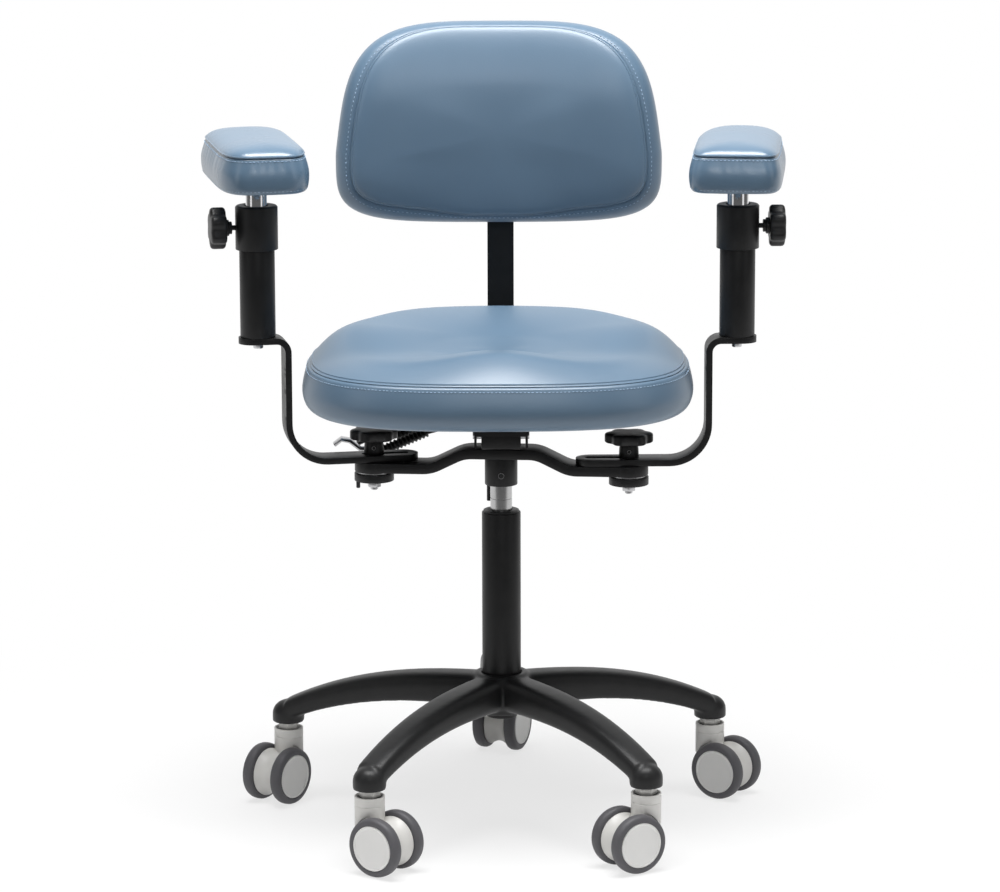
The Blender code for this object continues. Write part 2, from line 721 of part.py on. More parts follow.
def column(base):
    outer = TUBE_DIAMETER / 2
    foot = TUBE_FOOT_DIAMETER / 2
    floor = TUBE_FOOT + TUBE_FLOOR
    rod_radius = ROD_DIAMETER / 2
    wall = (TUBE_DIAMETER - TUBE_BORE) / 2
    tube = [
        (TUBE_BORE / 2, TUBE_TOP),
        (outer - EDGE, TUBE_TOP),
        (outer, TUBE_TOP - EDGE),
        (outer, HUB_TOP),
        (foot, HUB_BOTTOM),
        (foot, TUBE_FOOT),
        (rod_radius + FIT, TUBE_FOOT),
        (rod_radius + FIT, floor),
        (foot - wall, floor),
        (foot - wall, HUB_BOTTOM),
        (TUBE_BORE / 2, HUB_TOP),
    ]
    piece("column_tube", turned(tube, ROUND_SIDES, hollow=True), "black_coat", base)
    guide = TUBE_BORE / 2 - FIT
    slide = CYLINDER_DIAMETER / 2 + FIT
    lip = TUBE_TOP + FIT
    bush = [
        (slide, lip + BUSH_LIP - FIT),
        (guide, lip + BUSH_LIP - FIT),
        (outer - BUSH_LIP_INSET, lip + BUSH_LIP - EDGE),
        (outer - BUSH_LIP_INSET, lip),
        (guide, lip),
        (guide, lip - BUSH_LENGTH),
        (slide, lip - BUSH_LENGTH),
    ]
    piece("column_bush", turned(bush, ROUND_SIDES, hollow=True), "black_plastic", base)
    bearing = BEARING_DIAMETER / 2
    seat = floor + FIT
    race = [
        (rod_radius + FIT, seat + BEARING_HEIGHT),
        (bearing, seat + BEARING_HEIGHT),
        (bearing, seat),
        (rod_radius + FIT, seat),
    ]
    piece("thrust_bearing", turned(race, PIN_SIDES, hollow=True), "steel", base)
    collar = seat + BEARING_HEIGHT + FIT
    piston = [
        (0, ROD_TOP),
        (rod_radius, ROD_TOP),
        (rod_radius, collar + ROD_COLLAR_HEIGHT),
        (ROD_COLLAR_DIAMETER / 2, collar + ROD_COLLAR_HEIGHT),
        (ROD_COLLAR_DIAMETER / 2, collar),
        (rod_radius, collar),
        (rod_radius, TUBE_FOOT),
        (0, TUBE_FOOT),
    ]
    piece("piston_rod", turned(piston, PIN_SIDES), "chrome", base)


def gas_cylinder(lift):
    outer = CYLINDER_DIAMETER / 2
    neck = outer - CYLINDER_TAPER
    bore = ROD_DIAMETER / 2 + FIT
    button = BUTTON_DIAMETER / 2
    top = MECH_FOOT + CYLINDER_SOCKET
    profile = [
        (0, top + BUTTON_HEIGHT),
        (button, top + BUTTON_HEIGHT),
        (button, top),
        (neck, top),
        (outer, MECH_FOOT - MECH_GAP / 2),
        (outer, CYLINDER_FOOT),
        (bore, CYLINDER_FOOT),
        (bore, ROD_TOP + ROD_AIR),
        (0, ROD_TOP + ROD_AIR),
    ]
    piece("gas_cylinder", turned(profile, ROUND_SIDES), "chrome", lift)


# Arm yoke


def arm_yoke(frame):
    middle = YOKE_TOP - YOKE_THICKNESS / 2
    end = middle - YOKE_DROP
    half = [(YOKE_SHOULDER, middle), (YOKE_SLOPE_END, end), (PIVOT_X, end)]
    path = [(-x, z) for x, z in half[::-1]] + half
    outline = bent_bar(path, [YOKE_BEND] * 4, YOKE_THICKNESS)
    bar = prism(outline, -YOKE_WIDTH / 2, YOKE_WIDTH / 2)
    made = piece("arm_yoke", bar, "black_coat", frame, rotation=AGAINST_Y)
    join(made, rod(YOKE_HUB_DIAMETER / 2, YOKE_BOTTOM, YOKE_TOP - YOKE_THICKNESS / 2, ROUND_SIDES))
    for x in (-PIVOT_X, PIVOT_X):
        join(made, rod(YOKE_END_DIAMETER / 2, YOKE_END_LOW, YOKE_END_TOP, ROUND_SIDES), (x, 0, 0))
        cut(made, rod(BOLT_DIAMETER / 2 + FIT, YOKE_END_LOW - OVERCUT, YOKE_END_TOP + OVERCUT), (x, 0, 0))
    turn = math.radians(STOP_PIN_ANGLE)
    reach = TUBE_DIAMETER / 2 + STOP_PIN_DIAMETER / 2 + 2 * FIT
    pin_top = YOKE_TOP - YOKE_THICKNESS / 2
    pin = rod(STOP_PIN_DIAMETER / 2, pin_top - STOP_PIN_LENGTH, pin_top)
    join(made, pin, (reach * math.cos(turn), reach * math.sin(turn), 0))
    cut(made, rod(CYLINDER_DIAMETER / 2 + FIT, YOKE_BOTTOM - OVERCUT, YOKE_TOP + OVERCUT, ROUND_SIDES))


# Arms


def knob_loops(radius, low, high):
    """The outlines of a star knob's head from its underside to its top."""
    return [
        star_ring(radius - 2 * KNOB_EDGE, KNOB_FLUTE, low),
        star_ring(radius, KNOB_FLUTE, low + KNOB_EDGE),
        star_ring(radius, KNOB_FLUTE, high - KNOB_EDGE),
        star_ring(radius - 2 * KNOB_EDGE, KNOB_FLUTE, high),
    ]


def knob_ring(radius, height):
    """A circle with as many points as a star knob's outline."""
    return star_ring(radius, 0.0, height)


def pivot_bolt(name, swing):
    """The bolt through disc, yoke and bracket, with its flange nut below."""
    shank = BOLT_DIAMETER / 2 - FIT
    nut = NUT_DIAMETER / 2
    nut_top = YOKE_END_LOW - DISC_STEP - DISC_HEIGHT - 2 * FIT
    flange = nut_top - NUT_FLANGE
    nut_low = nut_top - NUT_HEIGHT
    top = BAR_BOTTOM + BAR_THICKNESS + PIVOT_KNOB_STEM
    profile = [
        (0, top),
        (shank, top),
        (shank, nut_top),
        (nut, nut_top),
        (nut, flange),
        (NUT_HEX_DIAMETER / 2, flange),
        (NUT_HEX_DIAMETER / 2, nut_low),
        (shank, nut_low),
        (shank, nut_low - BOLT_TAIL),
        (0, nut_low - BOLT_TAIL),
    ]
    piece(name, turned(profile, PIN_SIDES), "steel", swing)


def friction_disc(name, swing):
    bore = BOLT_DIAMETER / 2 + FIT
    top = YOKE_END_LOW - FIT
    step = top - DISC_STEP
    low = step - DISC_HEIGHT
    outer = DISC_DIAMETER / 2
    profile = [
        (bore, top),
        (DISC_STEP_DIAMETER / 2, top),
        (DISC_STEP_DIAMETER / 2, step),
        (outer, step),
        (outer, low),
        (bore, low),
    ]
    piece(name, turned(profile, ROUND_SIDES, hollow=True), "black_plastic", swing)


def pivot_knob(name, swing):
    """A star knob with its stem down on the bracket and a blind hole for the bolt."""
    low = BAR_BOTTOM + BAR_THICKNESS + FIT
    head = low + PIVOT_KNOB_STEM
    bore = BOLT_DIAMETER / 2 + FIT
    stem = PIVOT_STEM_DIAMETER / 2
    loops = [
        knob_ring(bore, head + FIT),
        knob_ring(bore, low),
        knob_ring(stem, low),
        knob_ring(stem - PIVOT_STEM_TAPER, head),
    ]
    loops += knob_loops(PIVOT_KNOB_DIAMETER / 2, head, head + PIVOT_KNOB_HEIGHT)
    piece(name, stacked(loops), "black_plastic", swing)


def bracket(name, slide):
    """A flat bar bent up beside the seat and out under the column, with a slot for the pivot bolt."""
    low = BAR_BOTTOM + BAR_THICKNESS / 2
    high = low + BAR_RISE
    end = COLUMN_AXIS + BAR_TOP_END
    path = [(-BAR_INNER, low), (BAR_REACH, low), (BAR_REACH, high), (end, high)]
    outline = bent_bar(path, [BAR_LOW_BEND, BAR_TOP_BEND], BAR_THICKNESS)
    bar = prism(outline, -BAR_WIDTH / 2, BAR_WIDTH / 2)
    made = piece(name, bar, "black_coat", slide, rotation=AGAINST_Y)
    for x, z in ((-BAR_INNER, low), (end, high)):
        join(made, rod(BAR_WIDTH / 2, z - BAR_THICKNESS / 2, z + BAR_THICKNESS / 2, ROUND_SIDES), (x, 0, 0))
    slot_width = BOLT_DIAMETER + 2 * FIT
    slot = stadium(slot_width / 2 - SLOT_LENGTH, 0, slot_width)
    cut(made, prism(slot, BAR_BOTTOM - OVERCUT, BAR_BOTTOM + BAR_THICKNESS + OVERCUT))
    hole = rod(SCREW_DIAMETER / 2 + FIT, BAR_TOP - BAR_THICKNESS - OVERCUT, BAR_TOP + OVERCUT)
    cut(made, hole, (COLUMN_AXIS, 0, 0))


def arm_column(name, slide):
    """The column tube, with a spigot for the collar and a bore for the post."""
    outer = COLUMN_DIAMETER / 2
    bore = POST_DIAMETER / 2 + FIT
    top = COLUMN_FOOT + COLUMN_HEIGHT
    thread = SCREW_DIAMETER / 2 + FIT
    profile = [
        (bore, top + SPIGOT_HEIGHT),
        (SPIGOT_DIAMETER / 2, top + SPIGOT_HEIGHT),
        (SPIGOT_DIAMETER / 2, top),
        (outer, top),
        (outer, COLUMN_FOOT),
        (thread, COLUMN_FOOT),
        (thread, COLUMN_FOOT + COLUMN_FLOOR),
        (bore, COLUMN_FOOT + COLUMN_FLOOR),
    ]
    piece(name, turned(profile, ROUND_SIDES, hollow=True), "black_coat", slide, (COLUMN_AXIS, 0, 0))


def column_screw(name, slide):
    """The screw up through the bracket's top flat into the column."""
    shank = SCREW_DIAMETER / 2
    head = SCREW_HEAD_DIAMETER / 2
    seat = BAR_TOP - BAR_THICKNESS - FIT
    tip = COLUMN_FOOT + SCREW_GRIP
    profile = [
        (0, tip),
        (shank, tip),
        (shank, seat),
        (head, seat),
        (head - SCREW_HEAD_TAPER, seat - SCREW_HEAD_HEIGHT),
        (0, seat - SCREW_HEAD_HEIGHT),
    ]
    piece(name, turned(profile, PIN_SIDES), "steel", slide, (COLUMN_AXIS, 0, 0))


def collar(name, slide):
    """The clamp collar on the column's spigot, round the post."""
    outer = COLLAR_DIAMETER / 2
    bore = POST_DIAMETER / 2 + FIT
    spigot = SPIGOT_DIAMETER / 2 + FIT
    step = COLLAR_FOOT + SPIGOT_HEIGHT
    profile = [
        (bore, COLLAR_TOP),
        (outer - COLLAR_CHAMFER, COLLAR_TOP),
        (outer, COLLAR_TOP - COLLAR_CHAMFER),
        (outer, COLLAR_FOOT + EDGE),
        (outer - EDGE, COLLAR_FOOT),
        (spigot, COLLAR_FOOT),
        (spigot, step),
        (bore, step),
    ]
    made = piece(name, turned(profile, ROUND_SIDES, hollow=True), "black_plastic", slide, (COLUMN_AXIS, 0, 0))
    thread = rod(CLAMP_SCREW_DIAMETER / 2 + FIT, 0, COLLAR_DIAMETER)
    cut(made, thread, (COLUMN_AXIS, 0, CLAMP_UP), ALONG_X)


def clamp_screw_knob(name, parent, screw, hub, head, place, rotation):
    """A star knob on a clamp screw. Screw and hub are (radius, start); head is (radius, start, end)."""
    loops = [
        knob_ring(screw[0], screw[1]),
        knob_ring(screw[0], hub[1]),
        knob_ring(hub[0], hub[1]),
        knob_ring(hub[0], head[1]),
    ]
    loops += knob_loops(*head)
    piece(name, stacked(loops), "black_plastic", parent, place, rotation)


def clamp_knob(name, slide):
    shank = CLAMP_SCREW_DIAMETER / 2
    start = POST_DIAMETER / 2 + FIT
    hub_start = COLLAR_DIAMETER / 2 + CLAMP_SCREW_SHOWN
    head_start = hub_start + CLAMP_HUB_HEIGHT
    head_end = head_start + CLAMP_KNOB_HEIGHT
    clamp_screw_knob(
        name,
        slide,
        (shank, start),
        (CLAMP_HUB_DIAMETER / 2, hub_start),
        (CLAMP_KNOB_DIAMETER / 2, head_start, head_end),
        (COLUMN_AXIS, 0, CLAMP_UP),
        ALONG_X,
    )


def arm_post(name, post):
    """The post that slides in the column, with the flange and peg that the pad turns on."""
    shaft = POST_DIAMETER / 2
    flange = FLANGE_DIAMETER / 2
    peg = PIVOT_PEG_DIAMETER / 2
    profile = [
        (0, PAD_FOOT + PIVOT_PEG_HEIGHT),
        (peg, PAD_FOOT + PIVOT_PEG_HEIGHT),
        (peg, FLANGE_TOP),
        (flange, FLANGE_TOP),
        (flange, FLANGE_TOP - FLANGE_HEIGHT),
        (shaft, FLANGE_TOP - FLANGE_HEIGHT),
        (shaft, COLUMN_FOOT + COLUMN_FLOOR + POST_FOOT),
        (0, COLUMN_FOOT + COLUMN_FLOOR + POST_FOOT),
    ]
    piece(name, turned(profile, ROUND_SIDES), "chrome", post)


def pad_outline(inset, height):
    """A pad's outline at a height, drawn in by an inset."""
    half_x = PAD_WIDTH / 2
    half_y = PAD_LENGTH / 2
    points = []
    for i in range(PAD_SIDES):
        turn = 2 * math.pi * (i + 0.5) / PAD_SIDES
        aim = math.atan2(half_y * math.sin(turn), half_x * math.cos(turn))
        x, y = superellipse(aim, half_x - inset, half_y - inset, PAD_SQUARENESS)
        points.append(Vector((x, y, height)))
    return points


def arm_pad(name, pad):
    """An upholstered pad: drawn in between its two seams, domed on top, with a hole for the post's peg."""
    edge = PAD_FOOT + PAD_THICKNESS
    loops = [pad_outline(inset, PAD_FOOT + share * PAD_THICKNESS) for inset, share in PAD_BAND]
    loops += [pad_outline(inset, edge + share * PAD_CROWN) for inset, share in PAD_DOME]
    made = piece(name, stacked(loops), "blue_leather", pad)
    hole = rod(PIVOT_PEG_DIAMETER / 2 + FIT, PAD_FOOT - OVERCUT, PAD_FOOT + PIVOT_PEG_HEIGHT + FIT)
    cut(made, hole)


def arms(frame):
    for side, facing in ARM_SIDES:
        name = "arm_" + side
        place = (math.cos(math.radians(facing)) * PIVOT_X, 0, 0)
        swing = empty(name + "_swing", frame, place, facing + ARM_SWING[side])
        pivot_bolt(name + "_pivot_bolt", swing)
        friction_disc(name + "_friction_disc", swing)
        pivot_knob(name + "_pivot_knob", swing)
        slide = empty(name + "_slide", swing, (ARM_SLIDE[side], 0, 0))
        bracket(name + "_bracket", slide)
        column_screw(name + "_column_screw", slide)
        arm_column(name + "_column", slide)
        collar(name + "_collar", slide)
        clamp_knob(name + "_clamp_knob", slide)
        post = empty(name + "_lift", slide, (COLUMN_AXIS, 0, 0))
        arm_post(name + "_post", post)
        arm_pad(name + "_pad", empty(name + "_turn", post, yaw=PAD_TURN[side]))


# Seat mechanism, seat and levers


def seat_mechanism(upper):
    """The box on the cylinder's taper, notched at the rear for the back post's barrel."""
    half = MECH_WIDTH / 2
    made = piece(
        "seat_mechanism",
        block((-half, -MECH_FRONT, MECH_FOOT), (half, MECH_REAR, MECH_TOP)),
        "black_coat",
        upper,
    )
    neck = CYLINDER_DIAMETER / 2 - CYLINDER_TAPER + FIT
    mouth = CYLINDER_DIAMETER / 2 + FIT
    button = BUTTON_DIAMETER / 2 + FIT
    top = MECH_FOOT + CYLINDER_SOCKET + FIT
    socket = [
        (0, top + BUTTON_HEIGHT),
        (button, top + BUTTON_HEIGHT),
        (button, top),
        (neck, top),
        (mouth, MECH_FOOT - MECH_GAP / 2),
        (mouth, MECH_FOOT - MECH_GAP),
        (0, MECH_FOOT - MECH_GAP),
    ]
    cut(made, turned(socket, ROUND_SIDES))
    cheek = half - HINGE_CHEEK
    notch_front = HINGE_BACK - HINGE_NOTCH
    notch_end = (cheek, MECH_REAR + OVERCUT, MECH_TOP + OVERCUT)
    cut(made, block((-cheek, notch_front, MECH_FOOT - OVERCUT), notch_end))
    pin = rod(HINGE_PIN_DIAMETER / 2 + FIT, -MECH_WIDTH, MECH_WIDTH)
    cut(made, pin, (0, HINGE_BACK, HINGE_HEIGHT), ALONG_X)
    axle = rod(TILT_AXLE_DIAMETER / 2 + FIT, -MECH_WIDTH, MECH_WIDTH)
    cut(made, axle, (0, MECH_AXLE_BACK, AXLE_UP), ALONG_X)


def cross_pins(upper):
    reach = MECH_WIDTH / 2 + EAR_GAP + EAR_THICKNESS + TILT_AXLE_END
    axle = rod(TILT_AXLE_DIAMETER / 2, -reach, reach)
    piece("tilt_axle", axle, "steel", upper, (0, MECH_AXLE_BACK, AXLE_UP), ALONG_X)
    pin = rod(HINGE_PIN_DIAMETER / 2, -MECH_WIDTH / 2, MECH_WIDTH / 2)
    piece("back_hinge_pin", pin, "steel", upper, (0, HINGE_BACK, HINGE_HEIGHT), ALONG_X)


def seat_plate(seat):
    """The plate under the seat board, with a channel whose ears hang on the tilt axle and a lip in front."""
    place = (0, -MECH_AXLE_BACK, -AXLE_UP)
    top = PLATE_FOOT + PLATE_THICKNESS
    half_x = PLATE_WIDTH / 2
    half_y = PLATE_DEPTH / 2
    plate = block((-half_x, -half_y, PLATE_FOOT), (half_x, half_y, top))
    made = piece("seat_plate", plate, "black_coat", seat, place)
    inner = MECH_WIDTH / 2 + EAR_GAP
    outer = inner + EAR_THICKNESS
    into = PLATE_FOOT + PLATE_THICKNESS / 2
    for low, high in ((-outer, -inner), (inner, outer)):
        ear = block((low, -EAR_FRONT, AXLE_UP - EAR_BELOW), (high, EAR_REAR, into))
        join(made, ear, place)
    lip = block((-outer, -EAR_FRONT - EAR_THICKNESS, PLATE_FOOT - LIP_DEPTH), (outer, -EAR_FRONT + TINY, into))
    join(made, lip, place)
    cut(made, rod(TILT_AXLE_DIAMETER / 2 + FIT, -MECH_WIDTH, MECH_WIDTH), (0, 0, 0), ALONG_X)


def seat_outline(inset):
    """Plan points of the seat's outline, drawn in by an inset."""
    half_x = SEAT_WIDTH / 2 - inset
    half_y = SEAT_DEPTH / 2 - inset
    for i in range(SEAT_SIDES):
        x, y = superellipse(2 * math.pi * i / SEAT_SIDES, half_x, half_y, SEAT_SQUARENESS)
        yield x, y


def seat_board(seat):
    place = (0, SEAT_BACK - MECH_AXLE_BACK, -AXLE_UP)
    outline = list(seat_outline(BOARD_INSET))
    board = prism(outline, BOARD_FOOT, BOARD_FOOT + BOARD_THICKNESS)
    piece("seat_board", board, "board", seat, place)


def smooth_step(share):
    share = min(max(share, 0.0), 1.0)
    return share * share * (3 - 2 * share)


def seat_top(x, y):
    """How far the seat's top lies above its seam inside the edge roll: rear rim, dish and front pommel."""
    across = x / (SEAT_WIDTH / 2)
    along = y / (SEAT_DEPTH / 2)
    start, end = SEAT_REAR_SPAN
    rear = smooth_step((along - start) / (end - start))
    wide, deep = SEAT_DISH_SPREAD
    dish = math.exp(-((across / wide) ** 2) - ((along - SEAT_DISH_AT) / deep) ** 2)
    hump = math.exp(-((x / SEAT_POMMEL_WIDTH) ** 2) - ((along - SEAT_POMMEL_AT) / SEAT_POMMEL_SPREAD) ** 2)
    return SEAT_ROLL + SEAT_REAR_RISE * rear - SEAT_DISH * dish + SEAT_POMMEL * hump


def seat_cushion(seat):
    """The cushion: bulging side band, seam drawn in, rolled edge, dished top with a pommel."""
    place = (0, SEAT_BACK - MECH_AXLE_BACK, -AXLE_UP)
    seam = SEAT_FOOT + SEAT_SEAM
    loops = []
    for inset, share in SEAT_BAND + ((SEAT_SEAM_INSET, 1.0),):
        loops.append([Vector((x, y, SEAT_FOOT + share * SEAT_SEAM)) for x, y in seat_outline(inset)])
    for inset, share in SEAT_DOME:
        loops.append([Vector((x, y, seam + share * seat_top(x, y))) for x, y in seat_outline(inset)])
    piece("seat_cushion", stacked(loops), "blue_leather", seat, place)


def lever(name, upper):
    """A bent rod with a ribbed sleeve and a flat paddle, along -X from its pivot at the mechanism's side."""
    sizes = LEVERS[name]
    pivot = (-MECH_WIDTH / 2 - FIT, sizes["back"], MECH_FOOT + LEVER_UP)
    thin = LEVER_ROD / 2
    fat = LEVER_SLEEVE / 2
    bend = Vector(sizes["bend"])
    end = Vector(sizes["sleeve_end"])
    root = LEVER_ROOT / 2
    stations = [(Vector((0, 0)), root, root), (Vector((LEVER_STUB, 0)), thin, thin), (bend, thin, thin)]
    ribs = int((end - bend).length / LEVER_RIB)
    for i in range(1, 2 * ribs):
        size = fat if i % 2 else fat - LEVER_RIB_DEPTH
        stations.append((bend.lerp(end, i / (2 * ribs)), size, size))
    stations.append((end, thin, thin))
    wide = PADDLE_WIDTH / 2
    thick = PADDLE_THICKNESS / 2
    for point, share in zip(sizes["paddle"], PADDLE_SHARES):
        stations.append((Vector(point), wide * share, thick))
    loops = []
    for i, (point, half_y, half_up) in enumerate(stations):
        ahead = stations[min(i + 1, len(stations) - 1)][0]
        behind = stations[max(i - 1, 0)][0]
        along = (ahead - behind).normalized()
        up = Vector((-along.y, along.x))
        loop = []
        for spot in ring(1.0, 0.0, LEVER_SIDES):
            off = up * (half_up * spot.y)
            loop.append(Vector((-(point.x + off.x), half_y * spot.x, point.y + off.y)))
        loops.append(loop)
    piece(name, stacked(loops), "black_plastic", upper, pivot)


# Backrest


def back_outline(inset):
    """Points (x, z) of the backrest's outline about its widest line, drawn in by an inset."""
    for i in range(BACK_SIDES):
        turn = 2 * math.pi * (i + 0.5) / BACK_SIDES
        upper = math.sin(turn) > 0
        height = (BACK_ABOVE if upper else BACK_BELOW) - inset
        squareness = BACK_TOP_SQUARENESS if upper else BACK_BOTTOM_SQUARENESS
        yield superellipse(turn, BACK_WIDTH / 2 - inset, height, squareness)


def back_cushion(carrier, place):
    """The cushion, from its flat rear through the side band and the welt to the crowned, bowed front panel."""
    half = BACK_WIDTH / 2
    levels = [(inset, -share * BACK_THICKNESS, bowed) for inset, share, bowed in BACK_BAND]
    for inset, share in zip((BACK_WELT - BACK_WELT_WIDTH, BACK_WELT), BACK_WELT_DEPTHS):
        levels.append((inset, -share * BACK_THICKNESS, 1.0))
    for inset, share in BACK_DOME:
        levels.append((BACK_WELT + inset, -BACK_THICKNESS - share * BACK_CROWN, 1.0))
    loops = []
    for inset, depth, bowed in levels:
        bow = bowed * BACK_BOW
        loops.append([Vector((x, depth - bow * (x / half) ** 2, z)) for x, z in back_outline(inset)])
    piece("back_cushion", stacked(loops), "blue_leather", carrier, place)


def backrest(back, carrier):
    """Cushion and board on the carrier, whose frame stands on the post's hinge."""
    widest = BACK_FOOT + BACK_BELOW - HINGE_HEIGHT
    rear = BACK_REAR - HINGE_BACK
    back_cushion(carrier, (0, rear, widest))
    board = prism(list(back_outline(BACK_BOARD_INSET)), 0, BACK_BOARD_THICKNESS)
    place = (0, rear + FIT + BACK_BOARD_THICKNESS, widest)
    piece("back_board", board, "board", carrier, place, AGAINST_Y)

    half = CARRIER_WIDTH / 2
    front = CARRIER_FRONT - HINGE_BACK
    post_front = POST_BACK - HINGE_BACK
    post_rear = post_front + BACK_BAR_THICKNESS
    foot = CARRIER_FOOT - HINGE_HEIGHT
    top = foot + CARRIER_HEIGHT
    shell = block((-half, front, foot), (half, post_rear + FIT + CARRIER_REAR_WALL, top))
    made = piece("back_carrier", shell, "black_plastic", carrier)
    slot = BACK_BAR_WIDTH / 2 + FIT
    cut(made, block((-slot, post_front - FIT, foot - OVERCUT), (slot, post_rear + FIT, top + OVERCUT)))
    shank = CLAMP_SCREW_DIAMETER / 2
    middle = foot + CARRIER_HEIGHT / 2
    cut(made, rod(shank + FIT, 0, CARRIER_REAR_WALL + OVERCUT), (0, post_rear - FIT, middle), ALONG_Y)
    hub = 2 * FIT + CARRIER_REAR_WALL + CLAMP_SCREW_SHOWN
    head = hub + CLAMP_HUB_HEIGHT
    clamp_screw_knob(
        "back_knob",
        carrier,
        (shank, FIT),
        (CLAMP_HUB_DIAMETER / 2, hub),
        (BACK_KNOB_DIAMETER / 2, head, head + BACK_KNOB_HEIGHT),
        (0, post_rear, middle),
        ALONG_Y,
    )

    line = post_front + BACK_BAR_THICKNESS / 2
    path = [(0, 0), (line, 0), (line, top + BACK_BAR_ABOVE)]
    outline = bent_bar(path, [BACK_BAR_BEND], BACK_BAR_THICKNESS)
    bar = prism(outline, -BACK_BAR_WIDTH / 2, BACK_BAR_WIDTH / 2)
    made = piece("back_post", bar, "black_coat", back, rotation=(90, 0, 90))
    barrel = rod(BARREL_DIAMETER / 2, -BACK_BAR_WIDTH / 2, BACK_BAR_WIDTH / 2, ROUND_SIDES)
    join(made, barrel, rotation=ALONG_X)
    cut(made, rod(HINGE_PIN_DIAMETER / 2 + FIT, -MECH_WIDTH, MECH_WIDTH), rotation=ALONG_X)


def chair():
    base = empty("chair", location=(COLUMN_X, COLUMN_Y, 0))
    base_star(base)
    casters(base)
    column(base)
    lift = empty("lift", base)
    gas_cylinder(lift)
    upper = empty("swivel", lift)
    frame = empty("yoke_frame", upper, yaw=YOKE_YAW)
    arm_yoke(frame)
    arms(frame)
    seat_mechanism(upper)
    cross_pins(upper)
    for name in LEVERS:
        lever(name, upper)
    seat = empty("seat_tilt", upper, (0, MECH_AXLE_BACK, AXLE_UP))
    seat_plate(seat)
    seat_board(seat)
    seat_cushion(seat)
    back = empty("back_recline", upper, (0, HINGE_BACK, HINGE_HEIGHT))
    backrest(back, empty("back_height", back))


for leftover in list(bpy.data.objects):
    bpy.data.objects.remove(leftover)
chair()
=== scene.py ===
# %% [markdown]
# An operator's chair: a dished seat and a low backrest in blue leathercloth, two armrests on bent steel bars,
# a gas lift and a five-arm castor base. The CAD model already fixes every size and every joint, and this lesson
# dresses it with finer shapes, soft upholstery and finishes made of shader nodes.
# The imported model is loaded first, because each piece takes its place from a joint or from a node's box.

# %% Load the frame
import json
import math
from bisect import bisect_right

import bmesh
import bpy
from mathutils import Matrix, Vector
from mathutils.bvhtree import BVHTree

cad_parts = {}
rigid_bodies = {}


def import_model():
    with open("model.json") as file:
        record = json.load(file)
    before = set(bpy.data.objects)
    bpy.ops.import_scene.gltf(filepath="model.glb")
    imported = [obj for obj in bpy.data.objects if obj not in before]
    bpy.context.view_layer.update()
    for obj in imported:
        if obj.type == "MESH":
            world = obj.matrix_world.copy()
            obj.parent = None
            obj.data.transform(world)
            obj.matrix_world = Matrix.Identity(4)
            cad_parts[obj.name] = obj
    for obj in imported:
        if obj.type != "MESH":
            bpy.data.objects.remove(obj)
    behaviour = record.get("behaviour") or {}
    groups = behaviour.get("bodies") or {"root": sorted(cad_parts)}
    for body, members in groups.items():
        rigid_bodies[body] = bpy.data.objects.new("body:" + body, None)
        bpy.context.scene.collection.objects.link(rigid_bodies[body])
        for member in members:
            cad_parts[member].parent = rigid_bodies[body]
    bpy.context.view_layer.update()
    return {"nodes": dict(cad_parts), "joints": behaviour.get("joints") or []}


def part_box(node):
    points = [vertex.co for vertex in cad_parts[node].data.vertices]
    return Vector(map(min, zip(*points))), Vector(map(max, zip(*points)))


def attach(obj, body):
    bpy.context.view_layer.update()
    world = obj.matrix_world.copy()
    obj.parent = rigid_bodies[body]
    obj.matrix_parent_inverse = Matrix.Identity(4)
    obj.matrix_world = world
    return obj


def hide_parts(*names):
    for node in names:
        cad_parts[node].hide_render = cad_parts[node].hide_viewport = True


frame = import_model()
joints = {joint["name"]: joint for joint in frame["joints"]}
scene = bpy.context.scene

# %% [markdown]
# The photograph was taken with a long lens from a little above the seat, so upright lines stay upright and the
# top of the seat just shows. A camera can be aimed with a constraint, but a fixed place, pitch and roll are
# easier to compare with a picture, one number at a time.

# %% Camera
EYE = Vector((0.006, -5.23, 1.54))
PITCH = math.radians(11.43)
ROLL = math.radians(-0.15)
FOCAL_PIXELS = 4138
PICTURE_WIDTH = 1000

lens = bpy.data.cameras.new("camera")
lens.sensor_width = 36
lens.lens = FOCAL_PIXELS * lens.sensor_width / PICTURE_WIDTH
camera = bpy.data.objects.new("camera", lens)
scene.collection.objects.link(camera)
aim = Matrix.Rotation(math.pi / 2 - PITCH, 4, "X") @ Matrix.Rotation(ROLL, 4, "Z")
camera.matrix_world = Matrix.Translation(EYE) @ aim
scene.camera = camera
print("camera with a lens of", round(lens.lens), "mm")

# %% [markdown]
# Shader nodes are easier to read as sums than as links. A small class wraps an output socket, so that adding or
# multiplying two of them places a Math node. Everything else goes through one method, which sets a node's own
# settings first and then the values or links of its sockets.

# %% Shader sums
class Tap:
    """An output socket that takes part in Python sums."""

    def __init__(self, socket):
        self.socket = socket
        self.tree = socket.id_data

    def node(self, kind, settings, sockets, output=0):
        """Adds a node to the same tree and returns one of its outputs."""
        made = self.tree.nodes.new(kind)
        for name, value in settings.items():
            setattr(made, name, value)
        for name, value in sockets.items():
            feed(made.inputs[name], value)
        return Tap(made.outputs[output])

    def maths(self, operation, first, second):
        return self.node("ShaderNodeMath", {"operation": operation}, {0: first, 1: second})

    def __add__(self, other):
        return self.maths("ADD", self, other)

    def __mul__(self, other):
        return self.maths("MULTIPLY", self, other)

    def __rsub__(self, other):
        return self.maths("SUBTRACT", other, self)

    __radd__ = __add__
    __rmul__ = __mul__


def feed(socket, value):
    """Links a tap to a socket, or sets the socket's own value."""
    if isinstance(value, Tap):
        socket.id_data.links.new(value.socket, socket)
    else:
        socket.default_value = value


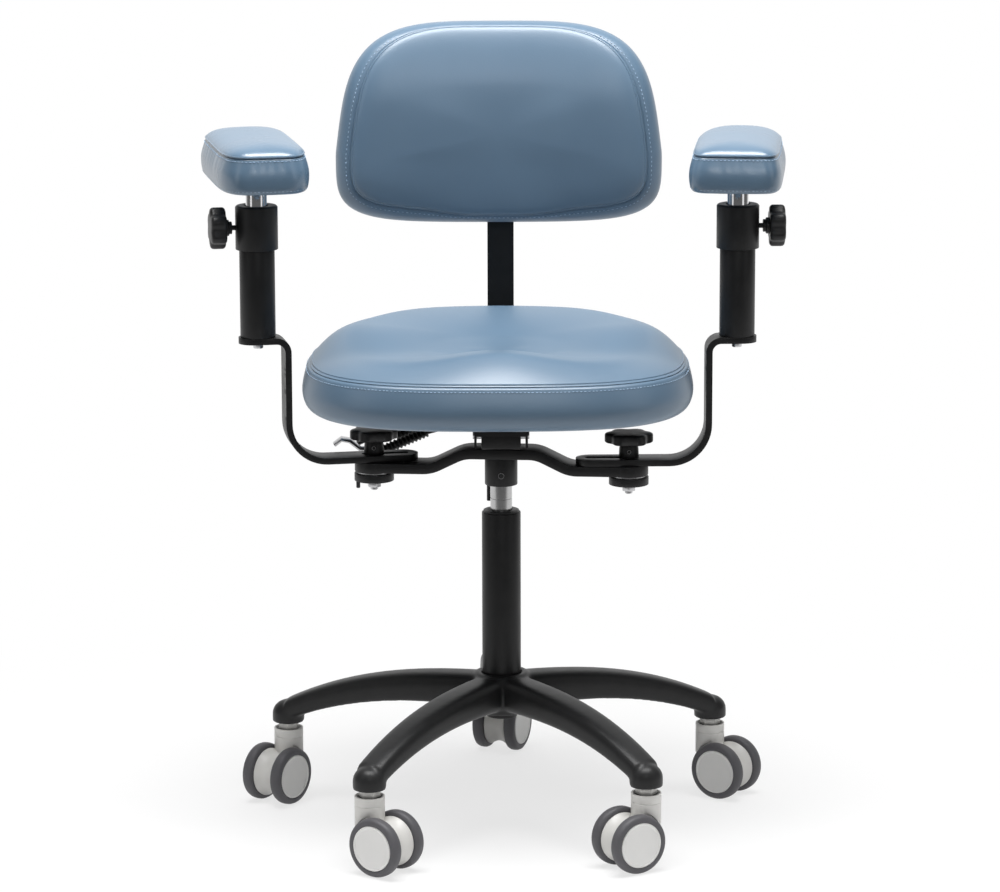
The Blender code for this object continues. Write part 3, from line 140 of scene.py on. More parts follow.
def mixed(share, first, second):
    """A colour between two, by a tap."""
    sockets = {0: share, 6: (*first, 1), 7: (*second, 1)}
    return share.node("ShaderNodeMix", {"data_type": "RGBA"}, sockets, 2)


def cloud(place, scale, detail=2.0):
    """Soft noise over a place, with blotches of about one metre divided by the scale."""
    return place.node("ShaderNodeTexNoise", {}, {"Vector": place, "Scale": scale, "Detail": detail})


def rising(value, low, high):
    """A smooth rise from 0 to 1 while a value goes from low to high."""
    sockets = {"Value": value, "From Min": low, "From Max": high}
    return value.node("ShaderNodeMapRange", {"interpolation_type": "SMOOTHSTEP"}, sockets)


def stretched(place, scale):
    """The same place with each axis drawn out or pressed together."""
    return place.node("ShaderNodeMapping", {}, {"Vector": place, "Scale": scale})


def bumped(height, strength, depth):
    """A normal from a height between 0 and 1."""
    return height.node("ShaderNodeBump", {}, {"Strength": strength, "Distance": depth, "Height": height})


print("shader sums are ready")

# %% [markdown]
# The studio is white behind the chair and dim behind the camera. A world that is white all round would light the
# chair evenly and hide its forms, so its level falls off towards the camera. Two tall soft boxes, a large one
# overhead and a small one over the camera model the shapes. White paper lies under the chair and ends in front of
# it. It turns whiter with distance and takes the shadows near the chair.

# %% Studio
DIM = 0.12
FLOOR_WHITE = 0.7

scene.view_settings.view_transform = "Standard"
world = bpy.data.worlds.new("studio")
scene.world = world
world.use_nodes = True
facing = Tap(world.node_tree.nodes.new("ShaderNodeTexCoord").outputs["Generated"])
behind = facing.node("ShaderNodeSeparateXYZ", {}, {"Vector": facing}, "Y")
rise = rising(behind, 0.1, 1.0)
looking = Tap(world.node_tree.nodes.new("ShaderNodeLightPath").outputs["Is Camera Ray"])
backdrop = world.node_tree.nodes["Background"]
backdrop.inputs["Color"].default_value = (1, 1, 1, 1)
level = DIM + (1 - DIM) * rise
feed(backdrop.inputs["Strength"], level + (1 - level) * looking)


def lamp(name, place, target, size, power):
    """A soft box that faces a point."""
    light = bpy.data.lights.new(name, "AREA")
    light.shape = "RECTANGLE"
    light.size, light.size_y = size
    light.energy = power
    made = bpy.data.objects.new(name, light)
    scene.collection.objects.link(made)
    facing = (Vector(target) - Vector(place)).to_track_quat("-Z", "Y")
    made.matrix_world = Matrix.Translation(place) @ facing.to_matrix().to_4x4()


lamp("box_left", (-1.9, -1.2, 1.3), (0, 0, 0.5), (0.7, 2.0), 3.5)
lamp("box_right", (1.9, -1.2, 1.3), (0, 0, 0.5), (0.7, 2.0), 3.5)
lamp("box_top", (0, -0.35, 2.7), (0, 0, 0.6), (2.0, 1.0), 92)
lamp("box_front", (0.25, -3.4, 1.95), (0, 0, 0.8), (1.2, 0.5), 10)

sheet = bmesh.new()
bmesh.ops.create_grid(sheet, x_segments=1, y_segments=1, size=30)
floor_data = bpy.data.meshes.new("floor")
sheet.to_mesh(floor_data)
sheet.free()
floor = bpy.data.objects.new("floor", floor_data)
scene.collection.objects.link(floor)
floor_paint = bpy.data.materials.new("floor")
floor_paint.use_nodes = True
floor_data.materials.append(floor_paint)
tree = floor_paint.node_tree
matt = tree.nodes["Principled BSDF"]
matt.inputs["Roughness"].default_value = 1.0
matt.inputs["Specular IOR Level"].default_value = 0.0
path = Tap(tree.nodes.new("ShaderNodeLightPath").outputs["Is Camera Ray"])
kinds = path.socket.node.outputs
spot = Tap(tree.nodes.new("ShaderNodeTexCoord").outputs["Object"])
depth = spot.node("ShaderNodeSeparateXYZ", {}, {"Vector": spot}, "Y")
paper = rising(depth, -1.3, -0.7)
feed(matt.inputs["Base Color"], mixed(paper, (0.2, 0.2, 0.2), (0.9, 0.9, 0.9)))
looked_at = path + paper * (Tap(kinds["Is Glossy Ray"]) + Tap(kinds["Is Transmission Ray"]))
away = spot.node("ShaderNodeVectorMath", {"operation": "LENGTH"}, {0: spot}, "Value")
far = rising(away, 0.3, 1.1)
share = (FLOOR_WHITE + (1 - FLOOR_WHITE) * far) * looked_at.node("ShaderNodeClamp", {}, {"Value": looked_at})
white = path.node("ShaderNodeEmission", {}, {"Color": (1, 1, 1, 1), "Strength": 1.0})
both = path.node("ShaderNodeMixShader", {}, {0: share, 1: Tap(matt.outputs[0]), 2: white})
feed(tree.nodes["Material Output"].inputs["Surface"], both)

# %% [markdown]
# Each finish starts from one Principled shader. What is even over the surface is set on the shader, and what
# varies comes from noise on object coordinates, so that grain has a true size in millimetres on every piece.

# %% A finish and its place
def finish(name, sockets):
    """A material, its shader and the place on the surface."""
    material = bpy.data.materials.new(name)
    material.use_nodes = True
    nodes = material.node_tree.nodes
    shader = nodes["Principled BSDF"]
    for socket, value in sockets.items():
        shader.inputs[socket].default_value = value
    return material, shader, Tap(nodes.new("ShaderNodeTexCoord").outputs["Object"])


print("finishes can be mixed")

# %% [markdown]
# The bars, the column and the arm tubes are powder-coated steel. Powder melts into a skin with a fine orange
# peel and slight clouds in its gloss. A bump from fine noise gives the peel, and slow noise gives the clouds.

# %% Black powder coat
coat_paint, shader, place = finish("black_coat", {"Specular IOR Level": 0.28})
clouds = cloud(place, 38, 3.0)
feed(shader.inputs["Base Color"], mixed(clouds, (0.008, 0.008, 0.0085), (0.018, 0.018, 0.0185)))
feed(shader.inputs["Roughness"], 0.34 + 0.16 * clouds)
feed(shader.inputs["Normal"], bumped(cloud(place, 1500), 0.10, 0.0004))
COAT = (coat_paint, "black_coat")
print("powder coat:", len(coat_paint.node_tree.nodes), "nodes")

# %% [markdown]
# Knobs, discs, bushes and the base are moulded in glass-filled nylon. Its skin copies the spark-eroded mould: a
# finer, sharper grain than powder, with a wider and duller highlight.

# %% Moulded black nylon
nylon_paint, shader, place = finish("black_plastic", {"Specular IOR Level": 0.32})
clouds = cloud(place, 55, 3.0)
spark = cloud(place, 2600, 1.0)
feed(shader.inputs["Base Color"], mixed(clouds, (0.010, 0.010, 0.0105), (0.020, 0.020, 0.0205)))
feed(shader.inputs["Roughness"], 0.33 + 0.12 * clouds + 0.06 * spark)
feed(shader.inputs["Normal"], bumped(spark, 0.12, 0.0003))
NYLON = (nylon_paint, "black_plastic")
print("nylon:", len(nylon_paint.node_tree.nodes), "nodes")

# %% [markdown]
# The posts and the gas cylinder are ground and plated. Grinding leaves fine rings round the bar, so the noise is
# pressed together along the height and drawn out round the bar.

# %% Chrome and zinc
def plated(name, colour, roughness, spread):
    material, shader, place = finish(name, {"Metallic": 1.0})
    rings = cloud(stretched(place, (20, 20, 900)), 2.0, 2.0)
    stain = cloud(place, 70, 2.0)
    feed(shader.inputs["Base Color"], mixed(stain, [0.86 * value for value in colour], colour))
    feed(shader.inputs["Roughness"], roughness + spread * rings)
    feed(shader.inputs["Normal"], bumped(rings, 0.04, 0.0002))
    return material


CHROME = (plated("chrome", (0.86, 0.86, 0.87), 0.07, 0.07), "chrome")
CYLINDER = (plated("cylinder_chrome", (0.52, 0.52, 0.52), 0.16, 0.10), "chrome")
ZINC = (plated("steel", (0.62, 0.62, 0.63), 0.22, 0.16), "steel")
print("plated finishes:", CHROME[0].name, CYLINDER[0].name, ZINC[0].name)

# %% [markdown]
# The castors are moulded in a warm light grey, and their treads are a soft grey rubber that picks up dust where
# it rolls. Both have a fine grain, and the tread is rougher and patchier than the hood.

# %% Castor plastics
def moulded_grey(name, dark, light, roughness, grain):
    material, shader, place = finish(name, {})
    clouds = cloud(place, 42, 3.0)
    skin = cloud(place, grain, 1.0)
    feed(shader.inputs["Base Color"], mixed(clouds, dark, light))
    feed(shader.inputs["Roughness"], roughness + 0.10 * clouds)
    feed(shader.inputs["Normal"], bumped(skin, 0.08, 0.0003))
    return material


SHELL = (moulded_grey("grey_plastic", (0.64, 0.63, 0.605), (0.71, 0.70, 0.675), 0.34, 2200), "grey_plastic")
FACE = (moulded_grey("wheel_face", (0.73, 0.725, 0.71), (0.79, 0.785, 0.77), 0.42, 2200), "grey_plastic")
TREAD = (moulded_grey("grey_tread", (0.074, 0.072, 0.078), (0.104, 0.102, 0.112), 0.50, 1500), "grey_tread")
print("castor plastics:", SHELL[0].name, FACE[0].name, TREAD[0].name)

# %% [markdown]
# The upholstery is a coated fabric embossed like leather. Rounded cells of about a millimetre and a half make the
# grain, and fine noise breaks it up. The colour drifts a little over a hand's width, as dyed sheets do. Thread is
# a twisted yarn in a paler blue. The pads are covered more tightly than the seat, so their cover is glossier.

# %% Blue leathercloth and thread
def leathercloth(name, roughness):
    material, shader, place = finish(name, {"Specular IOR Level": 0.85})
    cells = place.node(
        "ShaderNodeTexVoronoi", {"feature": "SMOOTH_F1"}, {"Vector": place, "Scale": 640, "Smoothness": 0.7}
    )
    pores = cloud(place, 2100)
    drift = cloud(place, 11, 2.0)
    feed(shader.inputs["Base Color"], mixed(drift, (0.092, 0.156, 0.231), (0.109, 0.180, 0.260)))
    feed(shader.inputs["Roughness"], roughness + 0.07 * drift + 0.06 * pores)
    feed(shader.inputs["Normal"], bumped(0.7 * cells + 0.3 * pores, 0.16, 0.0004))
    return material


LEATHER = (leathercloth("blue_leather", 0.32), "blue_leather")
TIGHT_LEATHER = (leathercloth("tight_leather", 0.22), "blue_leather")

thread_paint, shader, place = finish("thread", {})
twist = cloud(place, 3000, 1.0)
feed(shader.inputs["Base Color"], mixed(twist, (0.26, 0.38, 0.53), (0.42, 0.55, 0.70)))
feed(shader.inputs["Roughness"], 0.5 + 0.2 * twist)
THREAD = (thread_paint, "blue_leather")
print("upholstery:", LEATHER[0].name, TIGHT_LEATHER[0].name, THREAD[0].name)

# %% [markdown]
# Under the cushions are plywood boards with a black dust cover of felted fibre, which is rough and a little uneven.

# %% Felted boards
felt_paint, shader, place = finish("board", {"Specular IOR Level": 0.2})
fibres = cloud(place, 1300, 3.0)
feed(shader.inputs["Base Color"], mixed(fibres, (0.012, 0.012, 0.012), (0.032, 0.032, 0.033)))
feed(shader.inputs["Roughness"], 0.75 + 0.2 * fibres)
feed(shader.inputs["Normal"], bumped(fibres, 0.3, 0.0006))
FELT = (felt_paint, "board")
print("boards:", FELT[0].name)

# %% [markdown]
# Most of the hardware is turned. A profile of a few points, spun once round, is all that a lathe needs, and a
# narrow bevel on each sharp edge then catches the light as a broken edge does on the real piece.

# %% Turning and joining
SHARP = math.radians(38)
TINY = 1e-6


def lathe(profile, steps=64):
    """Turns (radius, height) points about Z. A profile that ends where it starts makes a ring."""
    mesh = bmesh.new()
    points = [mesh.verts.new((radius, 0, height)) for radius, height in profile]
    edges = [mesh.edges.new(pair) for pair in zip(points, points[1:])]
    bmesh.ops.spin(
        mesh,
        geom=points + edges,
        cent=(0, 0, 0),
        axis=(0, 0, 1),
        angle=2 * math.pi,
        steps=steps,
        use_merge=True,
    )
    bmesh.ops.remove_doubles(mesh, verts=mesh.verts, dist=TINY)
    bmesh.ops.recalc_face_normals(mesh, faces=mesh.faces)
    return mesh


def round_bar(radius, low, high, steps=64):
    """A plain turned bar between two heights."""
    return lathe([(0, low), (radius, low), (radius, high), (0, high)], steps)


def turned_ring(inner, outer, low, high):
    """A plain turned ring between two heights."""
    return lathe([(inner, low), (outer, low), (outer, high), (inner, high), (inner, low)])


def soften(mesh, width, segments=2, angle=math.radians(28)):
    """Rounds the edges that are sharper than an angle."""
    sharp = [edge for edge in mesh.edges if edge.is_manifold and edge.calc_face_angle() > angle]
    bmesh.ops.bevel(
        mesh,
        geom=sharp,
        offset=width,
        offset_type="OFFSET",
        segments=segments,
        profile=0.5,
        affect="EDGES",
        clamp_overlap=True,
        material=-1,
    )
    return mesh


def moved(mesh, matrix):
    """Moves a whole mesh."""
    bmesh.ops.transform(mesh, matrix=matrix, verts=mesh.verts)
    return mesh


def added(mesh, other):
    """Adds another mesh's shape to a mesh."""
    spare = bpy.data.meshes.new("spare")
    other.to_mesh(spare)
    other.free()
    mesh.from_mesh(spare)
    bpy.data.meshes.remove(spare)
    return mesh


def make(name, mesh, look, body, *nodes):
    """A finished piece on its body, in place of CAD nodes."""
    material, slot = look
    data = bpy.data.meshes.new(name)
    mesh.to_mesh(data)
    mesh.free()
    data.materials.append(material)
    data.shade_smooth()
    data.set_sharp_from_angle(angle=SHARP)
    piece = bpy.data.objects.new(name, data)
    scene.collection.objects.link(piece)
    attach(piece, body)
    if nodes:
        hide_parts(*nodes)
    return piece


TO_Y = Matrix.Rotation(-math.pi / 2, 4, "X")  # turns +Z to +Y
FROM_Y = Matrix.Rotation(math.pi / 2, 4, "X")  # turns +Z to -Y
TO_X = Matrix.Rotation(math.pi / 2, 4, "Y")  # turns +Z to +X
print("the lathe is set up")

# %% [markdown]
# Some shapes are cut, such as the slot in a bracket or the arches of a castor's hood. A Boolean modifier does it,
# and its result is read back at once, so that no helper object is left over.

# %% Cutting
def spare_object(mesh):
    """A helper object for a modifier."""
    data = bpy.data.meshes.new("helper")
    mesh.to_mesh(data)
    mesh.free()
    made = bpy.data.objects.new("helper", data)
    scene.collection.objects.link(made)
    return made


def drop(helper):
    """Removes a helper object and its data."""
    data = helper.data
    bpy.data.objects.remove(helper)
    bpy.data.batch_remove([data])


def read_back(helper):
    """The mesh of a helper after its modifiers; the helper goes."""
    bpy.context.view_layer.update()
    shaped = helper.evaluated_get(bpy.context.evaluated_depsgraph_get())
    mesh = bmesh.new()
    mesh.from_mesh(shaped.to_mesh())
    shaped.to_mesh_clear()
    drop(helper)
    return mesh


def carved(mesh, *tools):
    """A mesh with other meshes cut out of it."""
    target = spare_object(mesh)
    helpers = [spare_object(tool) for tool in tools]
    for helper in helpers:
        cut = target.modifiers.new("cut", "BOOLEAN")
        cut.operation = "DIFFERENCE"
        cut.solver = "EXACT"
        cut.object = helper
    shaped = read_back(target)
    for helper in helpers:
        drop(helper)
    return shaped


print("cutting is set up")

# %% [markdown]
# A twin castor is a hood with two wheels on one axle. It is built once about its swivel axis, with the axle ahead
# along +X, and then copied to the five tips, turned as each one came to rest. The wheel is a rubber tyre with a
# flat face plate, and the tyre's section is a rounded D.

# %% Castor wheels
WHEEL_RADIUS = 0.0375
TYRE = [
    (0, 0.0152), (0.0290, 0.0152), (0.0335, 0.0155), (0.0360, 0.0168), (0.0373, 0.0195), (0.0375, 0.0225),
    (0.0372, 0.0262), (0.0361, 0.0290), (0.0338, 0.0306), (0.0312, 0.0310), (0.0291, 0.0306), (0.0288, 0.0296),
    (0, 0.0296),
]
PLATE = [
    (0, 0.0303), (0.0254, 0.0304), (0.0260, 0.0311), (0.0272, 0.0314), (0.0283, 0.0310), (0.0286, 0.0303),
    (0.0286, 0.0290), (0, 0.0290),
]
tyre = lathe(TYRE, 72)
plate = soften(lathe(PLATE, 72), 0.0002)
print("a tyre of", len(tyre.faces), "faces")

# %% [markdown]
# The hood has a round neck with a parting groove and a recess at its top, where a pale hex collar stands on a dark
# ring of painted shade, which stands for the shaded gap under the collar. Two arches clear the wheels, and a
# waisted spool fills the space between them.

# %% Castor hoods
NECK_RADIUS = 0.019
NECK_FOOT = 0.0549
NECK_TOP = 0.0949
GROOVE_UP = 0.0835
GROOVE = 0.0006
RECESS = 0.0032
ARCH_RADIUS = 0.0395
ARCH_START = 0.0149
CASTER_TRAIL = 0.026
at_axle = Matrix.Translation((CASTER_TRAIL, 0, WHEEL_RADIUS))


def prism(sides, radius, depth):
    """An upright prism about the origin; with many sides it is a cylinder."""
    mesh = bmesh.new()
    bmesh.ops.create_cone(mesh, cap_ends=True, segments=sides, radius1=radius, radius2=radius, depth=depth)
    return mesh


neck = lathe([
    (0, NECK_FOOT), (NECK_RADIUS, NECK_FOOT), (NECK_RADIUS, GROOVE_UP - GROOVE), (NECK_RADIUS - GROOVE, GROOVE_UP),
    (NECK_RADIUS, GROOVE_UP + GROOVE), (NECK_RADIUS, NECK_TOP), (NECK_RADIUS - 0.0024, NECK_TOP),
    (NECK_RADIUS - 0.0028, NECK_TOP - RECESS), (0, NECK_TOP - RECESS),
])
arches = []
for facing in (TO_Y, FROM_Y):
    arch = prism(72, ARCH_RADIUS, WHEEL_RADIUS)
    arches.append(moved(arch, at_axle @ facing @ Matrix.Translation((0, 0, ARCH_START + WHEEL_RADIUS / 2))))
neck = soften(carved(neck, *arches), 0.0004)

half_spool = [(0.0312, 0.0146), (0.0315, 0.0128), (0.0296, 0.0098), (0.0278, 0.0060), (0.0268, 0.0025)]
spool = lathe([(0, 0.0146), *half_spool, *[(r, -h) for r, h in half_spool[::-1]], (0, -0.0146)], 72)
moved(spool, at_axle @ TO_Y)

# A dark ring in the recess under the hex collar: painted shade for the gap beneath the collar.
gap_shade_ring = lathe([(0, NECK_TOP - 0.0036), (0.0160, NECK_TOP - 0.0036), (0.0155, NECK_TOP - 0.0012), (0, NECK_TOP - 0.0006)])
hexagon = moved(soften(prism(6, 0.0139, 0.0092), 0.0007), Matrix.Translation((0, 0, 0.0983)))
print("a hood of", len(neck.faces), "faces")

# %% [markdown]
# A castor stands under each tip of the base, and its two wheels turn on their own. The parts above are copied and
# moved for each one, rather than built five times. The direction from the swivel to the axle says how far each
# castor has turned.

# %% Five castors
for number in range(1, 6):
    name = f"caster_{number}"
    swivel = Vector(joints[name + "_swivel"]["pos_m"])
    ahead = Vector(joints[name + "_roll_left"]["pos_m"]) - swivel
    stand = Matrix.Translation((swivel.x, swivel.y, 0)) @ Matrix.Rotation(math.atan2(ahead.y, ahead.x), 4, "Z")
    make(name + "_hood", moved(neck.copy(), stand), SHELL, name, name + "_housing")
    make(name + "_spool", moved(spool.copy(), stand), SHELL, name)
    # The dark ring under the collar is painted shade for the gap there.
    make(name + "_seal", moved(gap_shade_ring.copy(), stand), NYLON, name)
    make(name + "_hex", moved(hexagon.copy(), stand), SHELL, "base", name + "_stem")
    for side, facing in (("left", TO_Y), ("right", FROM_Y)):
        wheel = f"{name}_wheel_{side}"
        spot = stand @ at_axle @ facing
        make(wheel + "_tyre", moved(tyre.copy(), spot), TREAD, wheel, wheel)
        make(wheel + "_plate", moved(plate.copy(), spot), FACE, wheel)
for mesh in (tyre, plate, neck, spool, gap_shade_ring, hexagon):
    mesh.free()
print("five castors stand")

# %% [markdown]
# The base is one moulding: five hollow arms that leave a hub almost level and bend down to round tips. Its corners
# are all filleted, which is tedious to model edge by edge. So arms, tips and hub are only pushed into each other,
# a voxel remesh welds them, and smoothing rounds the inner and outer corners alike.

# %% Base star
STEM_CIRCLE = 0.293
ARM_TOP = 0.189
ARM_RISE = 0.054
ARM_CURVE = 2.7
ARM_ROOT = 0.027  # where an arm starts, inside the hub's wall
ARM_STATIONS = 18
HUB_RADIUS = 0.037
HUB_BORE = (0.0205, 0.0255)  # at its bottom and its top
HUB_TOP = 0.192
HUB_BOTTOM = 0.140
TIP_RADIUS = 0.021
TIP_BOTTOM = 0.103
TIP_TOP = 0.1325
TIP_ROUND = 0.018
swivel_axis = Vector(joints["seat_swivel"]["pos_m"])
column_foot = Matrix.Translation((swivel_axis.x, swivel_axis.y, 0))


def round_face(segments, radius=1):
    """A mesh of one flat round face, and that face."""
    mesh = bmesh.new()
    bmesh.ops.create_circle(mesh, cap_ends=True, segments=segments, radius=radius)
    mesh.faces.ensure_lookup_table()
    return mesh, mesh.faces[0]


def grown(mesh, face, shift, shares=(1, 1, 1)):
    """Extrudes a face, moves it and scales it about its middle; an old face inside the solid goes."""
    inside = all(len(edge.link_faces) > 1 for edge in face.edges)
    made = bmesh.ops.extrude_face_region(mesh, geom=[face])["geom"]
    if inside:
        bmesh.ops.delete(mesh, geom=[face], context="FACES_ONLY")
    face = next(item for item in made if isinstance(item, bmesh.types.BMFace))
    bmesh.ops.translate(mesh, verts=face.verts, vec=shift)
    middle = sum((vert.co for vert in face.verts), Vector()) / len(face.verts)
    bmesh.ops.scale(mesh, verts=face.verts, vec=shares, space=Matrix.Translation(-middle))
    return face


def arm_size(reach):
    """Half width, depth and middle height of an arm's section."""
    along = reach / STEM_CIRCLE
    depth = 0.046 - 0.017 * along
    return 0.026 - 0.0058 * along, depth, ARM_TOP - ARM_RISE * along**ARM_CURVE - depth / 2


def star_arm(start, end, wall, drop):
    """An arm along +X, drawn in by a wall and let down by a drop; the hollow is an arm drawn in."""
    mesh, face = round_face(28)
    half, depth, middle = arm_size(start)
    for vert in mesh.verts:
        across, up = vert.co.x, vert.co.y
        wide = math.copysign(abs(across) ** 0.62, across)
        high = math.copysign(abs(up) ** (0.72 if up > 0 else 0.4), up)
        vert.co = (start, wide * (half - wall), middle - drop + high * (depth - wall) / 2)
    size = half - wall, depth - wall, middle
    for i in range(1, ARM_STATIONS + 1):
        half, depth, middle = arm_size(start + (end - start) * i / ARM_STATIONS)
        new = half - wall, depth - wall, middle
        shift = ((end - start) / ARM_STATIONS, 0, new[2] - size[2])
        face = grown(mesh, face, shift, (1, new[0] / size[0], new[1] / size[1]))
        size = new
    bmesh.ops.recalc_face_normals(mesh, faces=mesh.faces)
    return mesh


tip_profile = [(0, TIP_TOP)]
for i in range(1, 9):
    turn = math.pi / 2 * i / 8
    tip_profile.append((TIP_RADIUS * math.sin(turn), TIP_TOP - TIP_ROUND * (1 - math.cos(turn))))
tip_profile += [(TIP_RADIUS, TIP_BOTTOM), (0, TIP_BOTTOM)]

star = lathe([
    (HUB_BORE[1], HUB_TOP), (HUB_RADIUS - 0.0045, HUB_TOP), (HUB_RADIUS, HUB_TOP - 0.0045), (HUB_RADIUS, HUB_BOTTOM),
    (HUB_BORE[0], HUB_BOTTOM), (HUB_BORE[1], HUB_TOP),
])
for number in range(1, 6):
    reach = Vector(joints[f"caster_{number}_swivel"]["pos_m"]) - swivel_axis
    turn = Matrix.Rotation(math.atan2(reach.y, reach.x), 4, "Z")
    arm = carved(star_arm(ARM_ROOT, STEM_CIRCLE, 0, 0), star_arm(0.048, 0.258, 0.010, 0.018))
    added(star, moved(arm, turn))
    added(star, moved(lathe(tip_profile), turn @ Matrix.Translation((STEM_CIRCLE, 0, 0))))
welded = spare_object(moved(star, column_foot))
weld = welded.modifiers.new("weld", "REMESH")
weld.mode = "VOXEL"
weld.voxel_size = 0.0023
ease = welded.modifiers.new("ease", "SMOOTH")
ease.factor = 0.5
ease.iterations = 7
base_shell = make("base_moulding", read_back(welded), NYLON, "base", "base_star")
print("base of", len(base_shell.data.polygons), "faces")

# %% [markdown]
# The gas lift shows as a thick coated tube with a glossy bush in its mouth, and a slim dark-chrome cylinder that
# comes out of it. All three are turned, and the cylinder has a shallow groove for its retaining ring.

# %% Column and gas cylinder
TUBE_RADIUS = 0.025
CYLINDER_RADIUS = 0.014
tube_low, tube_high = (corner.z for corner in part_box("column_tube"))
tube = lathe([
    (0, tube_low), (0.020, tube_low), (0.020, HUB_BOTTOM), (TUBE_RADIUS, HUB_TOP), (TUBE_RADIUS, tube_high),
    (0.0215, tube_high), (0.0215, tube_high - 0.004), (0.0175, tube_high - 0.004), (0.0175, tube_low + 0.004),
    (0, tube_low + 0.004),
])
make("column_shell", moved(soften(tube, 0.0008), column_foot), COAT, "base", "column_tube")
bush = [(0.0145, -0.003), (0.0225, -0.003), (0.0232, 0.0004), (0.0228, 0.0024), (0.0205, 0.0032), (0.0145, 0.0030)]
bush = lathe([(radius, tube_high + height) for radius, height in bush + bush[:1]])
make("column_mouth", moved(bush, column_foot), NYLON, "base", "column_bush")
cylinder_low, cylinder_high = (corner.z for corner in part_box("gas_cylinder"))
GROOVE_AT = 0.4212
cylinder = lathe([
    (0, cylinder_low), (CYLINDER_RADIUS, cylinder_low), (CYLINDER_RADIUS, GROOVE_AT - 0.0007),
    (CYLINDER_RADIUS - 0.0008, GROOVE_AT - 0.0004), (CYLINDER_RADIUS - 0.0008, GROOVE_AT + 0.0004),
    (CYLINDER_RADIUS, GROOVE_AT + 0.0007), (CYLINDER_RADIUS, 0.490), (CYLINDER_RADIUS - 0.0015, 0.512),
    (0.0045, 0.512), (0.0045, cylinder_high), (0, cylinder_high),
])
make("cylinder_shell", moved(cylinder, column_foot), CYLINDER, "lift", "gas_cylinder")
print("column from", round(tube_low, 3), "to", round(cylinder_high, 3))

# %% [markdown]
# The yoke, the brackets and the back post are flat steel bars, bent cold. The way to make one here is the same:
# a flat strip with rounded ends is cut out first, with its slot, and then each point is laid along the bent line.
# Modelling the bends directly would make the round ends and the slot much harder.

# %% Flat bars
def bent_line(corners, bends, steps=12):
    """Points of a line through corners, with a bend radius at each inner one."""
    line = [Vector(corners[0])]
    for before, corner, after, radius in zip(corners, corners[1:], corners[2:], bends):
        corner = Vector(corner)
        back = (Vector(before) - corner).normalized()
        ahead = (Vector(after) - corner).normalized()
        half = back.angle(ahead) / 2
        centre = corner + (back + ahead).normalized() * (radius / math.sin(half))
        start = corner + back * (radius / math.tan(half)) - centre
        end = corner + ahead * (radius / math.tan(half)) - centre
        line += [centre + start.slerp(end, k / steps) * radius for k in range(steps + 1)]
    return line + [Vector(corners[-1])]


def strip(length, half, thickness, rounded=True, spacing=0.003):
    """A flat strip along +X from zero, with half-round ends beyond its length."""
    mesh = bmesh.new()
    bmesh.ops.create_grid(mesh, x_segments=max(1, round(length / spacing)), y_segments=2, size=0.5)
    bmesh.ops.scale(mesh, verts=mesh.verts, vec=(length, 2 * half, 1))
    bmesh.ops.translate(mesh, verts=mesh.verts, vec=(length / 2, 0, 0))
    for end, side in ((0, 1), (length, -1)) if rounded else ():
        spoke = [
            edge
            for edge in mesh.edges
            if all(abs(vert.co.x - end) < TINY and vert.co.y * side > -TINY for vert in edge.verts)
        ]
        bmesh.ops.spin(
            mesh,
            geom=spoke + [vert for edge in spoke for vert in edge.verts],
            cent=(end, 0, 0),
            axis=(0, 0, 1),
            angle=math.pi,
            steps=20,
        )
    bmesh.ops.remove_doubles(mesh, verts=mesh.verts, dist=TINY)
    bmesh.ops.recalc_face_normals(mesh, faces=mesh.faces)
    top = bmesh.ops.extrude_face_region(mesh, geom=mesh.faces[:], use_keep_orig=True)["geom"]
    rise = [item for item in top if isinstance(item, bmesh.types.BMVert)]
    bmesh.ops.translate(mesh, verts=rise, vec=(0, 0, thickness))
    bmesh.ops.translate(mesh, verts=mesh.verts, vec=(0, 0, -thickness / 2))
    bmesh.ops.recalc_face_normals(mesh, faces=mesh.faces)
    return mesh


def laid(mesh, line):
    """Lays a strip's points along a line in the XZ plane."""
    marks = [0.0]
    for first, second in zip(line, line[1:]):
        marks.append(marks[-1] + (second - first).length)
    aims = []
    for i in range(len(line)):
        aims.append((line[min(i + 1, len(line) - 1)] - line[max(i - 1, 0)]).normalized())
    for vert in mesh.verts:
        reach = min(max(vert.co.x, 0.0), marks[-1])
        i = min(max(bisect_right(marks, reach), 1), len(marks) - 1)
        part = (reach - marks[i - 1]) / max(marks[i] - marks[i - 1], TINY)
        ahead = aims[i - 1].lerp(aims[i], part).normalized()
        spot = line[i - 1].lerp(line[i], part) + ahead * (vert.co.x - reach)
        spot += Vector((-ahead.y, ahead.x)) * vert.co.z
        vert.co = (spot.x, vert.co.y, spot.y)
    return mesh


def line_length(line):
    return sum((second - first).length for first, second in zip(line, line[1:]))


print("bars can be bent")

# %% [markdown]
# The yoke is clamped to the cylinder by a round hub under its middle. It drops at both sides to two round ends,
# where the brackets pivot. A slim pin hangs behind the cylinder as a stop.

# %% Arm yoke
YOKE_TOP = 0.488
YOKE_THICKNESS = 0.013
YOKE_DROP = 0.0205
YOKE_BOTTOM = 0.439
HUB_HOLE = 0.0143
HUB_OUTSIDE = 0.021
PIN_CIRCLE = 0.0286  # where the stop pin stands round the cylinder
PIVOT_X = 0.164
YOKE_END_TOP = 0.468
YOKE_END_LOW = 0.454
left_pivot, right_pivot = (Vector(joints[f"arm_{side}_swing"]["pos_m"]) for side in ("left", "right"))
across = right_pivot - left_pivot
yoke_place = column_foot @ Matrix.Rotation(math.atan2(across.y, across.x), 4, "Z")

